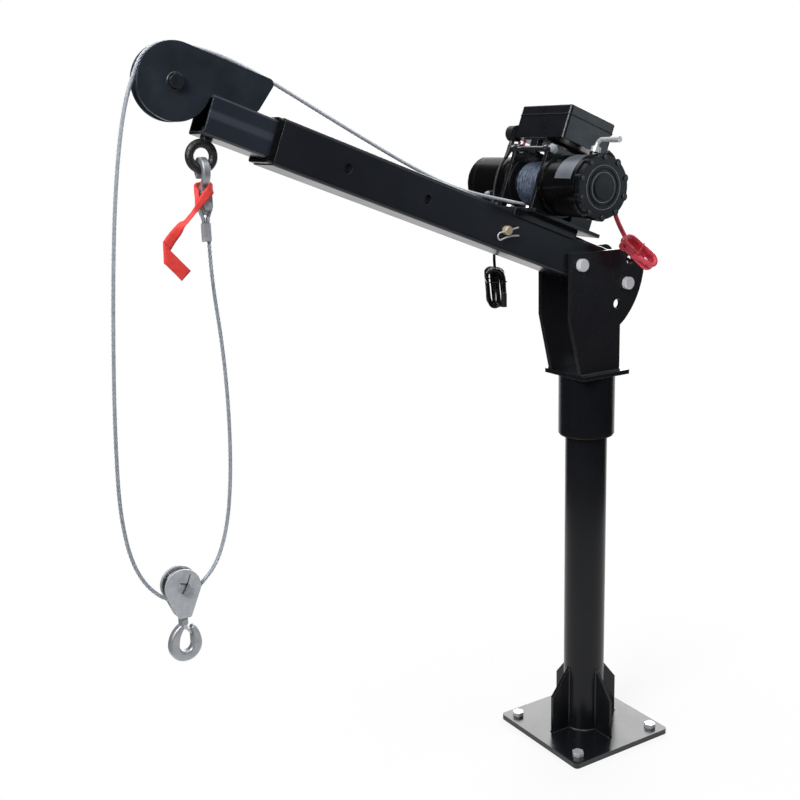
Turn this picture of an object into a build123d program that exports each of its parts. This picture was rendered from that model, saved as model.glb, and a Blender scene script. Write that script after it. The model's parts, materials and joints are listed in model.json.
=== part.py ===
from build123d import *
import math
import os

# Pickup truck crane: a post on a bolted base plate, a head that swivels on the post,
# a telescopic boom tilting between two cheeks, an electric winch, and a hook block.
# Millimetres, +Z up, origin at the centre of the base plate's underside.
# The boom points along -X, and the gearbox side of the winch faces -Y.
# Boom pieces are placed by (along, y, perp): along the boom from the pivot towards the
# tip, across it, and square to it in the tilt plane.

# Fits
RUN_CLEAR = 0.05
SEAT_CLEAR = 0.05
CURVE_CLEAR = 0.3
BOLT_CLEAR = 0.5

# Base plate, post and gussets
PLATE_SIDE = 228.0
PLATE_THICK = 10.0
PLATE_CORNER = 8.0
STUD_SPACING = 180.0
STUD_D = 12.0
STUD_HOLE_CLEAR = 1.25
STUD_LENGTH = 30.0
STUD_HEAD_AF = 19.0
STUD_HEAD_H = 8.0
POST_D = 76.1
POST_WALL = 5.0
POST_CAP = 8.0
GUSSET_COUNT = 4
GUSSET_THICK = 6.0
GUSSET_REACH = 40.0
GUSSET_OUTER_H = 75.0
GUSSET_INNER_H = 125.0

# Swivel sleeve, bushes and flange
SLEEVE_FOOT = 597.0
SLEEVE_LENGTH = 110.3
SLEEVE_D = 101.6
SLEEVE_WALL = 6.0
BUSH_LENGTH = 36.0
BUSH_COLLAR = 3.0
BUSH_LIP = 2.0
THRUST_WASHER = 5.0
WASHER_INSET = 1.0
FLANGE_SIDE = 106.6
FLANGE_THICK = 8.0

# Cheeks and pins
PIVOT_X = -54.0
PIVOT_H = 196.2
TILT = 21.0
CHEEK_THICK = 8.0
CHEEK_GAP = 1.5
CHEEK_FRONT = 22.0
CHEEK_HEAD = 20.5
CHEEK_REAR_R = 147.0
CHEEK_REAR_ANGLE = 46.0
CHEEK_CORNER = 22.0
CHEEK_FOOT_FRONT = -52.0
CHEEK_FOOT_REAR = 37.5
CHEEK_NECK_H = 82.0
CHEEK_SLANT_H = 103.0
PIN_D = 16.0
PIN_HEAD_D = 22.0
PIN_HEAD_H = 9.5
PIN_TAIL = 14.0
PIN_CHAMFER = 1.5
LOCK_RADIUS = 113.0
LOCK_HOLE_CLEAR = 0.5
LOCK_TAIL = 17.0
NOTCH_CLEAR = 0.3
CLIP_WIRE = 2.6
CLIP_LEG = 22.0
CLIP_REACH = 15.0
CLIP_LOOP_R = 6.2
CLIP_LIFT = 1.0

# Boom and jib tubes
BOOM_SIDE = 70.0
BOOM_WALL = 5.0
BOOM_CORNER = 6.0
BOOM_AXIS = 10.0
BOOM_FRONT = 599.0
PIVOT_BUSH_WALL = 6.0
PIN_STATIONS = (168.0, 331.0, 481.0)
EXT_PIN_D = 15.0
EXT_PIN_OUT = 10.0
EXT_HEAD_D = 22.0
EXT_HEAD_H = 6.0
EXT_CLIP_TURN = 30.0
JIB_SIDE = 57.0
JIB_WALL = 4.5
JIB_CORNER = 5.0
JIB_TAIL = 130.0
JIB_FRONT = 709.0
PAD_THICK = 2.5
PAD_LENGTH = 60.0
PAD_WIDTH = 44.0
PAD_CLEAR = 0.1

# Tip sheave between its two plates on the jib
ROPE_D = 6.0
TIP_AHEAD = 54.0
TIP_GROOVE_R = 49.0
TIP_DEPTH = 2.0
TIP_WIDTH = 17.0
TIP_RISE = -1.6
TIP_PLATE_T = 5.0
TIP_PLATE_GAP = 1.0
TIP_PLATE_RIM = 3.0
TIP_PLATE_BACK = 143.0
TIP_PLATE_SLANT = 15.0
TIP_PLATE_CORNER = 8.0
TIP_AXLE_D = 12.0
TIP_HEAD_AF = 19.0
GROOVE_LIP = 1.0
HUB_WALL = 6.0
TIP_HEAD_H = 8.0
TIP_THREAD_OUT = 3.0
TIP_LEAVE_ANGLE = 156.5
TIP_LAND_ANGLE = 79.0
TIP_LAND_RUN = 30.0

# Eye bolt, rope-end hook and rope eye
EYE_BACK = 16.3
EYE_RING_R = 18.0
EYE_BAR_R = 6.4
EYE_COLLAR_R = 9.0
EYE_COLLAR_H = 3.0
EYE_SHANK_D = 12.0
EYE_NUT_AF = 19.0
EYE_NUT_H = 9.0
EYE_THREAD_OUT = 3.0
EYE_SINK = 1.0
EYE_HOOK_CLEAR = 0.9
END_HOOK_R = 9.0
END_HOOK_T = 10.0
END_HOOK_SHANK = 22.0
END_HOOK_NECK = 6.0
END_HOOK_TIP = 9.0
END_HOOK_WIDTH = 11.0
END_HOOK_SOFT = 2.0
CLEVIS_DROP = 49.0
CLEVIS_EAR_R = 8.5
CLEVIS_EAR_T = 4.5
CLEVIS_GAP = 12.0
CLEVIS_BRIDGE = 6.0
CLEVIS_PIN_D = 8.0
CLEVIS_HEAD_D = 13.0
CLEVIS_HEAD_H = 3.0
CLEVIS_PIN_OUT = 3.0
THIMBLE_WALL = 1.6
THIMBLE_WIDTH = 8.0
THIMBLE_POINT_R = 0.6
ROPE_EYE_R = 10.0
ROPE_EYE_CORNERS = 3
FERRULE_DROP = 25.0
FERRULE_LENGTH = 26.0
FERRULE_WALL = 1.4

# Hook block
BLOCK_X = -796.0
BLOCK_Z = 490.0
BLOCK_GROOVE_R = 22.0
BLOCK_RIM_R = 26.5
BLOCK_WIDTH = 15.0
BLOCK_PLATE_R = 28.0
BLOCK_PLATE_T = 4.0
BLOCK_FOOT_DROP = 49.0
BLOCK_FOOT_W = 21.0
BLOCK_FOOT_SOFT = 3.0
BLOCK_AXLE_D = 10.0
BLOCK_NUT_AF = 16.0
BLOCK_NUT_H = 6.0
BLOCK_ROPE_ANGLE = 276.0
BLOCK_ROPE_WRAP = 70.0
YOKE_H = 14.0
YOKE_INSET = 2.0
HOOK_R = 10.0
HOOK_T = 16.0
HOOK_NOSE = 0.3
HOOK_DROP = 96.0
HOOK_SHANK = 34.0
HOOK_NECK = 6.5
HOOK_TIP = 24.0
HOOK_WIDTH = 14.0
HOOK_SOFT = 4.0
HOOK_SHANK_D = 11.0
HOOK_NUT_D = 15.0
HOOK_NUT_H = 6.0
LATCH_T = 2.0
LATCH_PIN_D = 3.0
LATCH_UP = 31.0
LATCH_LUG_R = 3.6
LATCH_LUG_T = 1.6
LATCH_BELOW = 6.0
LATCH_EAR_SHARE = 0.8
LATCH_GATE_SHARE = 0.62

# Winch
WINCH_ALONG = 92.0
WINCH_RISE = 66.0
SADDLE_T = 6.0
SADDLE_REAR = 25.0
SADDLE_FRONT = 165.0
SADDLE_SKIRT = 7.5
SKIRT_T = 5.0
WINCH_PLATE_T = 6.0
WINCH_PLATE_REAR = -8.0
WINCH_PLATE_FRONT = 142.0
WINCH_PLATE_W = 120.0
WINCH_BOLT_D = 8.0
WINCH_BOLT_AF = 13.0
WINCH_BOLT_H = 5.5
WINCH_BOLT_REAR = 40.0
WINCH_BOLT_FRONT = 128.0
WINCH_BOLT_Y = 26.0
SUPPORT_IN = 39.0
SUPPORT_T = 8.0
SUPPORT_FOOT_REAR = 52.0
SUPPORT_FOOT_FRONT = 48.0
SUPPORT_SHOULDER = 48.0
SUPPORT_TOP = 57.0
SUPPORT_CORNER = 8.0
DRUM_CORE_R = 32.9
DRUM_FLANGE_R = 47.0
DRUM_FLANGE_T = 3.0
DRUM_JOURNAL_R = 20.0
DRUM_GAP = 0.6
WIND_PITCH = 6.5
WIND_TURNS = 9
WIND_EXIT_Y = 29.0
WIND_OFF_ANGLE = -99.0
TIE_BAR_D = 10.0
TIE_BAR_RISE = 49.0
TIE_BAR_FRONT = 42.0
TIE_BAR_REAR = 40.0
TIE_NUT_AF = 15.0
TIE_NUT_H = 6.0
TIE_COLLAR_R = 7.5
TIE_COLLAR_L = 6.0
GEAR_R = 50.0
GEAR_RIM_R = 53.0
GEAR_LENGTH = 91.0
GEAR_RIM_L = 9.0
GEAR_FOOT_REAR = 75.0
GEAR_FOOT_FRONT = 30.0
GEAR_FOOT_H = 18.0
GEAR_FOOT_W = 12.0
COVER_T = 12.0
COVER_LOBES = 10
COVER_LOBE_R = 7.0
COVER_BOLT_R = 47.0
COVER_RING_R = 30.0
COVER_BOSS_R = 19.0
COVER_STEP = 2.0
SCREW_HEAD_D = 7.0
SCREW_HEAD_H = 2.5
SCREW_D = 4.0
MOTOR_R = 48.5
MOTOR_LENGTH = 92.0
MOTOR_CAP_L = 23.0
MOTOR_CAP_SOFT = 9.0
MOTOR_STUD_D = 8.0
MOTOR_STUD_H = 6.5
MOTOR_STUD_SINK = 1.2
MOTOR_STUDS = ((68.0, 62.0), (68.0, 76.0), (-38.0, 95.0))
CLUTCH_Y = -105.0
CLUTCH_BOSS_R = 8.0
CLUTCH_BOSS_H = 7.0
CLUTCH_HUB_H = 9.0
CLUTCH_ROD_D = 7.0
CLUTCH_RISE = 22.0
CLUTCH_REACH = 50.0
CLUTCH_GRIP_D = 10.0
CLUTCH_GRIP_L = 20.0
CLUTCH_BEND = 9.0
CLUTCH_SPIGOT_R = 4.0
CLUTCH_BOSS_SINK = 4.0

# Control box
BOX_REAR = 35.0
BOX_FRONT = 137.0
BOX_NEAR = -70.0
BOX_FAR = 60.0
BOX_RISE = 68.0
BOX_BODY_H = 39.5
BOX_LID_H = 16.5
BOX_CORNER = 5.0
BOX_LID_SOFT = 3.0
BRACKET_T = 4.0
BRACKET_W = 60.0
CLAMP_L = 16.0
CLAMP_W = 18.0
CLAMP_TRIM = 5.0

# Leads: diameters, the sizes of the coil and the hank, and how far both face round from -Y
BUNDLE_YAW = 31.5
POWER_D = 8.0
POWER_GLAND_D = 16.0
POWER_GLAND_L = 12.0
POWER_GLAND_Y = -40.0
POWER_GLAND_UP = 16.0
POWER_GLAND_CHAMFER = 2.0
POWER_COIL_X = 48.5
POWER_COIL_Y = -72.8
POWER_COIL_Z = 929.0
POWER_COIL_DROOP = 43.0
POWER_COIL_TURNS = 3
POWER_COIL_PITCH = 8.8
POWER_COIL_RUN = 22.0
POWER_COIL_R = 13.0
POWER_COIL_SHRINK = 1.25
TERMINAL_RING_R = 9.0
TERMINAL_HOLE_R = 4.2
TERMINAL_T = 2.0
TERMINAL_BARREL_L = 14.0
TERMINAL_BARREL_WALL = 0.8
TERMINAL_LAP = 2.0
REMOTE_D = 5.0
REMOTE_PLUG_D = 28.0
REMOTE_PLUG_L = 20.0
REMOTE_PLUG_ALONG = 131.0
REMOTE_PLUG_UP = 9.0
REMOTE_PLUG_CHAMFER = 3.0
REMOTE_STUB_D = 9.0
REMOTE_STUB_L = 8.0
HANK_X = -160.4
HANK_Y = 61.3
HANK_Z = 876.0
HANK_TURNS = 7
HANK_PITCH = 5.8
HANK_RUN = 16.5
HANK_R = 16.3
HANK_SPREAD = 2.2
HANK_SIZES = 3
HANK_LAST_STEP = 7.0
HANK_TAIL = 26.0
CONNECTOR_D = 10.0
CONNECTOR_L = 26.0
CONNECTOR_CHAMFER = 2.0
TIE_T = 1.4
TIE_W = 5.0
TIE_SOFT = 2.0
TIE_SLACK = 1.5
HANK_TIE_UP = 4.0
WIRE_D = 5.0
WIRE_STUB = 7.0
WIRE_LEAN = 8.0

# Pull strap
STRAP_W = 22.0
STRAP_T = 1.6
STRAP_LOOP_RX = 17.5
STRAP_LOOP_RY = 17.0
STRAP_LOOP_H = 15.0
# Places from the clevis pin: X, Z and how far out of the loop's side, then the strap's way in X and Z
# and its turn about that way
STRAP_LOOP_AT = (-2.5, 15.3)
STRAP_TAIL = (
    (-8.9, 20.3, -2.2, -0.55, -0.83, 0), (-20.9, -0.7, 0.0, -0.55, -0.83, 35),
    (-32.9, -18.7, 0.0, -0.55, -0.83, 75), (-46.9, -34.7, 0.0, -0.65, -0.76, 20),
    (-62.9, -49.7, 0.0, -0.7, -0.71, 0),
)
STRAP_END = ((-66.9, -52.7, 1.3, 0.5, -0.86, 0), (-34.9, -96.7, 3.2, 0.66, -0.75, 0))

# Slack of the rope. Along the boom: along, y and the height over the boom's top. Hanging: the share
# of the way between its two ends, and how far it bows out from the straight line.
RUN_SAG = (
    (165, 29, 18.5), (205, 27, 13), (245, 25, 9.5), (290, 22, 9.5), (340, 18, 12.5), (395, 14.5, 18),
    (460, 10, 25.5), (530, 6, 34.5), (600, 1.7, 43.8), (645, 0.3, 49.5), (690, 0, 52.7),
)
FALL_DOWN_BOWS = (
    (0.06, 20.1), (0.145, 35.2), (0.255, 48.5), (0.37, 58.5), (0.49, 67), (0.605, 74), (0.715, 78.8),
    (0.81, 80.8), (0.885, 76.5), (0.938, 68), (0.98, 54), (1.012, 34.5),
)
FALL_UP_BOWS = (
    (0.001, 38.9), (0.03, 52), (0.079, 62.2), (0.167, 69.1), (0.295, 67.5), (0.436, 59.5), (0.58, 47.5),
    (0.723, 32),
)

# Levels worked out from the sizes above
FLANGE_UNDER = SLEEVE_FOOT + SLEEVE_LENGTH
FLANGE_TOP = FLANGE_UNDER + FLANGE_THICK
POST_TOP = FLANGE_UNDER - THRUST_WASHER
PIVOT_Z = FLANGE_TOP + PIVOT_H
CHEEK_IN = BOOM_SIDE / 2 + CHEEK_GAP
CHEEK_OUT = CHEEK_IN + CHEEK_THICK
BOOM_TOP = BOOM_AXIS + BOOM_SIDE / 2
BOOM_TAIL = -LOCK_RADIUS - LOCK_TAIL
BOOM_FLOOR = BOOM_AXIS - BOOM_SIDE / 2 + BOOM_WALL
JIB_AXIS = BOOM_FLOOR + PAD_THICK + PAD_CLEAR + JIB_SIDE / 2
JIB_TOP = JIB_AXIS + JIB_SIDE / 2
JIB_UNDER = JIB_AXIS - JIB_SIDE / 2
TIP_ALONG = JIB_FRONT + TIP_AHEAD
TIP_PERP = JIB_TOP + TIP_RISE
TIP_ROPE_R = TIP_GROOVE_R + ROPE_D / 2 + CURVE_CLEAR
TIP_RIM_R = TIP_GROOVE_R + TIP_DEPTH
TIP_PLATE_IN = TIP_WIDTH / 2 + TIP_PLATE_GAP
WINCH_PERP = BOOM_TOP + WINCH_RISE
SADDLE_TOP = BOOM_TOP + SADDLE_T
WINCH_PLATE_TOP = SADDLE_TOP + WINCH_PLATE_T
SUPPORT_OUT = SUPPORT_IN + SUPPORT_T
DRUM_HALF = SUPPORT_IN - DRUM_GAP
WIND_R = DRUM_CORE_R + ROPE_D / 2 + SEAT_CLEAR * 2
WIND_OFF = math.radians(WIND_OFF_ANGLE)
WIND_SLOPE = WIND_PITCH / (2 * math.pi * WIND_R)
BOX_FLOOR = WINCH_PERP + BOX_RISE
BOX_SEAM = BOX_FLOOR + BOX_BODY_H
BLOCK_ROPE_R = BLOCK_GROOVE_R + ROPE_D / 2 + CURVE_CLEAR
BLOCK_IN = BLOCK_WIDTH / 2 + CURVE_CLEAR

BOOM = Location((PIVOT_X, 0, PIVOT_Z), (0, TILT, 0))


def boom_point(along, y, perp):
    """A world point from the boom's own coordinates."""
    return (BOOM * Pos(-along, y, perp)).position


def boom_way(along, perp):
    """A world direction in the tilt plane from the boom's own coordinates."""
    return boom_point(along, 0, perp) - boom_point(0, 0, 0)


def boom_side(sketch, y_from, y_to):
    """A sketch in (along, perp), extruded across the boom."""
    plane = Plane(origin=(0, y_from, 0), x_dir=(-1, 0, 0), z_dir=(0, 1, 0))
    return BOOM * extrude(plane * sketch, y_to - y_from)


def boom_across(shape, along, y, perp):
    """A shape whose +Z becomes +Y, set across the boom."""
    return BOOM * Pos(-along, y, perp) * Rot(-90, 0, 0) * shape


def flat_box(along, y, perp):
    """A box between pairs of along, y and perp limits, before the boom is tilted."""
    size = (along[1] - along[0], y[1] - y[0], perp[1] - perp[0])
    middle = Pos(-(along[0] + along[1]) / 2, (y[0] + y[1]) / 2, (perp[0] + perp[1]) / 2)
    return middle * Box(*size)


def boom_box(along, y, perp):
    """The same box, in its place on the tilted boom."""
    return BOOM * flat_box(along, y, perp)


def world_side(sketch, y_from, y_to):
    """A sketch in (X, Z), extruded across the crane."""
    plane = Plane(origin=(0, y_to, 0), x_dir=(1, 0, 0), z_dir=(0, -1, 0))
    return extrude(plane * sketch, y_to - y_from)


def across(shape, x, y, z):
    """A shape whose +Z becomes +Y, set in the crane's own frame."""
    return Pos(x, y, z) * Rot(-90, 0, 0) * shape


def rod(radius, start, end):
    """A cylinder along +Z between two levels."""
    return Pos(0, 0, (start + end) / 2) * Cylinder(radius, end - start)


def hexagon(across_flats, start, end):
    """A hexagonal prism along +Z between two levels."""
    flats = RegularPolygon(across_flats / 2, 6, major_radius=False)
    return Pos(0, 0, start) * extrude(flats, end - start)


def corners(spacing_x, spacing_y):
    """The four corners of a rectangle about the origin."""
    half_x = spacing_x / 2
    half_y = spacing_y / 2
    return [(half_x, half_y), (-half_x, half_y), (-half_x, -half_y), (half_x, -half_y)]


def square_tube(side, wall, corner, start, end, level):
    """A square tube along the boom, hollow right through."""
    outer = RectangleRounded(side, side, corner)
    inner = RectangleRounded(side - 2 * wall, side - 2 * wall, max(corner - wall, 1.0))
    plane = Plane(origin=(-start, 0, level), x_dir=(0, 1, 0), z_dir=(-1, 0, 0))
    return BOOM * extrude(plane * (outer - inner), end - start)


def route_radii(points, fixed):
    """The largest even arcs that a route's runs allow, with any fixed ones kept."""
    radii = []
    for index in range(1, len(points) - 1):
        before = points[index] - points[index - 1]
        after = points[index + 1] - points[index]
        half_turn = math.radians(before.get_angle(after)) / 2
        shorter = min(before.length, after.length)
        radii.append(fixed.get(index, 0.45 * shorter / math.tan(half_turn)))
    return radii


def route_tube(name, points, diameter, fixed=None):
    """A round tube on straight runs and tangent arcs, with its sizes printed."""
    points = [Vector(*point) for point in points]
    radii = route_radii(points, fixed or {})
    path = FilletPolyline(*points, radius=radii)
    tube = swept(path, diameter)
    report_tube(name, tube, path, diameter)
    print(name, "arc radii", [round(radius) for radius in radii])
    return tube


def swept(path, diameter):
    """A round section swept along a wire."""
    start = Plane(origin=path @ 0, z_dir=path % 0)
    return sweep(start * Circle(diameter / 2), path=path)


def report_tube(name, tube, path, diameter):
    """Print a tube's volume beside its section times its length."""
    expected = math.pi * diameter ** 2 / 4 * path.length
    print(name, "length", round(path.length, 1), "volume share", round(tube.volume / expected, 4))


def biarc(start, start_way, end, end_way):
    """Two tangent arcs between two points with given directions."""
    chord = end - start
    ways = start_way + end_way
    spread = 2 * (1 - start_way.dot(end_way))
    reach = chord.dot(ways)
    step = (-reach + math.sqrt(reach ** 2 + spread * chord.dot(chord))) / spread
    joint = (start + end + (start_way - end_way) * step) / 2
    middle_way = end - end_way * step - (start + start_way * step)
    return [
        Edge.make_tangent_arc(start, start_way, joint),
        Edge.make_tangent_arc(joint, middle_way.normalized(), end),
    ]


def wound_tube(name, stations, diameter, gap_after):
    """One unbroken tube through (point, direction) stations: runs where straight, else biarcs."""
    edges = []
    for (start, start_way), (end, end_way) in zip(stations, stations[1:]):
        straight = (end - start).normalized()
        if straight.dot(start_way) > 0.999999 and straight.dot(end_way) > 0.999999:
            edges.append(Edge.make_line(start, end))
        else:
            edges.extend(biarc(start, start_way, end, end_way))
    path = Wire(edges)
    tube = swept(path, diameter)
    report_tube(name, tube, path, diameter)
    radii = [edge.radius for edge in edges if edge.geom_type == GeomType.CIRCLE]
    print(name, "least arc radius", round(min(radii), 1))
    print(name, "least gap to itself", round(self_gap(path, diameter, gap_after), 2))
    return tube


def self_gap(path, diameter, apart):
    """The least gap between points of a tube that lie further apart than a given length."""
    count = int(path.length / 2)
    points = [path @ (index / count) for index in range(count + 1)]
    skip = int(apart / path.length * count)
    least = math.inf
    for index, point in enumerate(points):
        for other in points[index + skip:]:
            least = min(least, (other - point).length)
    return least - diameter


def racetrack(centre, long_way, short_way, step_way, sizes, pitch):
    """Stations of loops on two straight runs and two half turns, climbing along step_way."""
    spots = []
    for turn, (run, radius) in enumerate(sizes):
        for share, side_long, side_short in ((0.0, -1, 1), (0.25, 1, 1), (0.5, 1, -1), (0.75, -1, -1)):
            climb = step_way * (pitch * (turn + share))
            spots.append(centre + long_way * (side_long * run) + short_way * (side_short * radius) + climb)
    stations = []
    for index in range(0, len(spots), 2):
        way = (spots[index + 1] - spots[index]).normalized()
        stations.append((spots[index], way))
        stations.append((spots[index + 1], way))
    return stations


def groove_sheave(rim, bottom, width, rope, bore, hub_half):
    """A grooved wheel about Z with a hub that carries it between its plates."""
    half_mouth = rope / 2 + GROOVE_LIP
    depth = rim - bottom
    groove_r = (half_mouth ** 2 + depth ** 2) / (2 * depth)
    wheel = rod(rim, -width / 2, width / 2) - Torus(bottom + groove_r, groove_r)
    wheel += rod(bore + HUB_WALL, -hub_half, hub_half)
    return wheel - rod(bore, -hub_half - 1, hub_half + 1)


def hook_outline(inner, thick, shank, neck, tip, top):
    """A hook in its own plane: bowl centre at the origin, shank up, tip to the right."""
    outer = inner + thick
    nose_r = thick * HOOK_NOSE
    left_in = TangentArc((-inner, 0), (neck, shank), tangent=(0, 1))
    bowl_in = ThreePointArc((-inner, 0), (0, -inner), (inner, 0))
    tip_in = Line((inner, 0), (inner, tip))
    nose = ThreePointArc((inner, tip), (inner + nose_r, tip + nose_r), (inner + 2 * nose_r, tip))
    tip_side = TangentArc((outer, 0), nose @ 1, tangent=(0, 1))
    bowl_out = ThreePointArc((outer, 0), (0, -outer), (-outer, 0))
    left_out = TangentArc((-outer, 0), (-neck, shank), tangent=(0, 1))
    head = Polyline((-neck, shank), (-neck, top), (neck, top), (neck, shank))
    return make_face([left_in, bowl_in, tip_in, nose, tip_side, bowl_out, left_out, head])


def soft_plate(sketch, width, soft):
    """A sketch in (X, Z) extruded evenly about Y, with its face edges rounded."""
    plate = world_side(sketch, -width / 2, width / 2)
    rims = plate.faces().filter_by(Axis.Y).edges()
    return fillet(rims, soft)


def clip_wire(wire):
    """A hairpin clip in its own XY plane: straight leg through the pin, loop, sprung leg."""
    over = PIN_D / 2 + wire / 2 + CLIP_LIFT
    loop_end = CLIP_REACH + CLIP_LOOP_R
    points = [
        (-CLIP_LEG, 0),
        (loop_end, 0),
        (loop_end, 2 * CLIP_LOOP_R),
        (PIN_D / 4, over),
        (-PIN_D / 2, over + 0.3),
        (-CLIP_LEG + CLIP_LIFT, over + 3 * CLIP_LIFT),
    ]
    path = FilletPolyline(*points, radius=[CLIP_LOOP_R - 0.2, CLIP_LOOP_R * 0.85, PIN_D, PIN_D])
    return swept(path, wire)


def cross_pin(diameter, head_d, head_h, length, hole_at):
    """A headed pin along +Z with a cross hole for its clip."""
    shank = rod(diameter / 2, 0, length)
    shank = chamfer(shank.edges().sort_by(Axis.Z)[-1], PIN_CHAMFER)
    head = rod(head_d / 2, -head_h, 0)
    head = chamfer(head.edges().sort_by(Axis.Z)[0], PIN_CHAMFER)
    hole = Pos(0, 0, hole_at) * Rot(0, 90, 0) * Cylinder(CLIP_WIRE / 2 + RUN_CLEAR, diameter * 2)
    return shank + head - hole


# Base


def make_base_plate():
    plate = extrude(RectangleRounded(PLATE_SIDE, PLATE_SIDE, PLATE_CORNER), PLATE_THICK)
    for x, y in corners(STUD_SPACING, STUD_SPACING):
        plate -= Pos(x, y, 0) * rod(STUD_D / 2 + STUD_HOLE_CLEAR, -1, PLATE_THICK + 1)
    return plate


def make_base_bolts():
    bolt = rod(STUD_D / 2, -STUD_LENGTH, PLATE_THICK)
    bolt += hexagon(STUD_HEAD_AF, PLATE_THICK, PLATE_THICK + STUD_HEAD_H)
    return [Pos(x, y, 0) * bolt for x, y in corners(STUD_SPACING, STUD_SPACING)]


def make_post_tube():
    tube = rod(POST_D / 2, PLATE_THICK, POST_TOP)
    return tube - rod(POST_D / 2 - POST_WALL, PLATE_THICK - 1, POST_TOP - POST_CAP)


def make_base_gussets():
    inner = POST_D / 2
    outer = inner + GUSSET_REACH
    outline = Polygon(
        (inner, PLATE_THICK),
        (outer, PLATE_THICK),
        (outer, PLATE_THICK + GUSSET_OUTER_H),
        (inner, PLATE_THICK + GUSSET_INNER_H),
        align=None,
    )
    gusset = world_side(outline, -GUSSET_THICK / 2, GUSSET_THICK / 2)
    return [Rot(0, 0, 360 / GUSSET_COUNT * index) * gusset for index in range(GUSSET_COUNT)]


def make_thrust_washer():
    return rod(POST_D / 2 - WASHER_INSET, POST_TOP, FLANGE_UNDER)


# Swivel head


def make_sleeve_tube():
    bore = SLEEVE_D / 2 - SLEEVE_WALL
    return rod(SLEEVE_D / 2, SLEEVE_FOOT, FLANGE_UNDER) - rod(bore, SLEEVE_FOOT - 1, FLANGE_UNDER + 1)


def make_sleeve_bushes():
    bore = rod(POST_D / 2 + RUN_CLEAR, SLEEVE_FOOT - BUSH_COLLAR - 1, FLANGE_UNDER + 1)
    outer = SLEEVE_D / 2 - SLEEVE_WALL - SEAT_CLEAR
    lower = rod(outer, SLEEVE_FOOT, SLEEVE_FOOT + BUSH_LENGTH)
    lower += rod(SLEEVE_D / 2 - BUSH_LIP, SLEEVE_FOOT - BUSH_COLLAR, SLEEVE_FOOT)
    upper = rod(outer, FLANGE_UNDER - BUSH_LENGTH, FLANGE_UNDER)
    return [lower - bore, upper - bore]


def make_head_flange():
    return Pos(0, 0, FLANGE_UNDER + FLANGE_THICK / 2) * Box(FLANGE_SIDE, FLANGE_SIDE, FLANGE_THICK)


def cheek_outline():
    """The cheek's side view, with the lobe that carries the lock holes behind the pivot."""
    top = PIVOT_Z + CHEEK_HEAD
    front = PIVOT_X - CHEEK_FRONT
    start = math.degrees(math.asin(CHEEK_HEAD / CHEEK_REAR_R))
    lobe = CenterArc((PIVOT_X, PIVOT_Z), CHEEK_REAR_R, start, -start - CHEEK_REAR_ANGLE)
    edges = Polyline(
        lobe @ 1,
        (CHEEK_FOOT_REAR, FLANGE_TOP + CHEEK_NECK_H),
        (CHEEK_FOOT_REAR, FLANGE_TOP),
        (CHEEK_FOOT_FRONT, FLANGE_TOP),
        (front, FLANGE_TOP + CHEEK_SLANT_H),
        (front, top),
        lobe @ 0,
    )
    outline = make_face([lobe, edges])
    crown = outline.vertices().sort_by_distance(lobe @ 0)[0]
    return fillet(crown, CHEEK_CORNER)


def lock_spot(step):
    """The world X and Z of a lock hole, a whole number of tilt steps below the pivot's level."""
    angle = math.radians(TILT * step)
    return PIVOT_X + LOCK_RADIUS * math.cos(angle), PIVOT_Z - LOCK_RADIUS * math.sin(angle)


def make_cheeks():
    outline = cheek_outline()
    outline -= Pos(PIVOT_X, PIVOT_Z) * Circle(PIN_D / 2 + SEAT_CLEAR)
    for step in (0, 1, 2):
        clear = SEAT_CLEAR if step == 1 else LOCK_HOLE_CLEAR
        outline -= Pos(*lock_spot(step)) * Circle(PIN_D / 2 + clear)
    return [world_side(outline, -CHEEK_OUT, -CHEEK_IN), world_side(outline, CHEEK_IN, CHEEK_OUT)]


def cheek_pin_spots():
    """The world X and Z of the pivot pin and of the lock pin."""
    return [(PIVOT_X, PIVOT_Z), lock_spot(1)]


def make_cheek_pins():
    length = CHEEK_OUT * 2 + PIN_TAIL
    pin = cross_pin(PIN_D, PIN_HEAD_D, PIN_HEAD_H, length, CHEEK_OUT * 2 + PIN_TAIL / 2)
    return [across(pin, x, -CHEEK_OUT, z) for x, z in cheek_pin_spots()]


def make_pin_clips():
    clip = Rot(90, 0, 0) * clip_wire(CLIP_WIRE)
    y = CHEEK_OUT + PIN_TAIL / 2
    return [Pos(x, y, z) * clip for x, z in cheek_pin_spots()]


# Boom and jib


def boom_bore(along, perp, radius):
    """A cylinder across the whole boom, for holes and seats."""
    return boom_across(Cylinder(radius, BOOM_SIDE * 2), along, 0, perp)


def make_outer_boom():
    tube = square_tube(BOOM_SIDE, BOOM_WALL, BOOM_CORNER, BOOM_TAIL, BOOM_FRONT, BOOM_AXIS)
    tube -= boom_bore(0, 0, PIN_D / 2 + PIVOT_BUSH_WALL + SEAT_CLEAR)
    for station in PIN_STATIONS:
        tube -= boom_bore(station, BOOM_AXIS, EXT_PIN_D / 2 + SEAT_CLEAR)
    half = PIN_D / 2 + NOTCH_CLEAR
    ring = Circle(LOCK_RADIUS + half) - Circle(LOCK_RADIUS - half)
    reach = LOCK_RADIUS * 2
    wedge = Polygon((0, 0), (-reach, 0), (-reach, reach), align=None)
    notch = ring & wedge
    notch += Pos(-LOCK_RADIUS, 0) * Circle(half)
    return tube - boom_side(notch, -BOOM_SIDE, BOOM_SIDE)


def make_pivot_bush():
    half = CHEEK_IN - CURVE_CLEAR
    bush = rod(PIN_D / 2 + PIVOT_BUSH_WALL, -half, half) - rod(PIN_D / 2 + RUN_CLEAR, -half - 1, half + 1)
    return boom_across(bush, 0, 0, 0)


def make_slide_pad():
    along = (BOOM_FRONT - PAD_LENGTH, BOOM_FRONT)
    return boom_box(along, (-PAD_WIDTH / 2, PAD_WIDTH / 2), (BOOM_FLOOR, BOOM_FLOOR + PAD_THICK))


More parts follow.
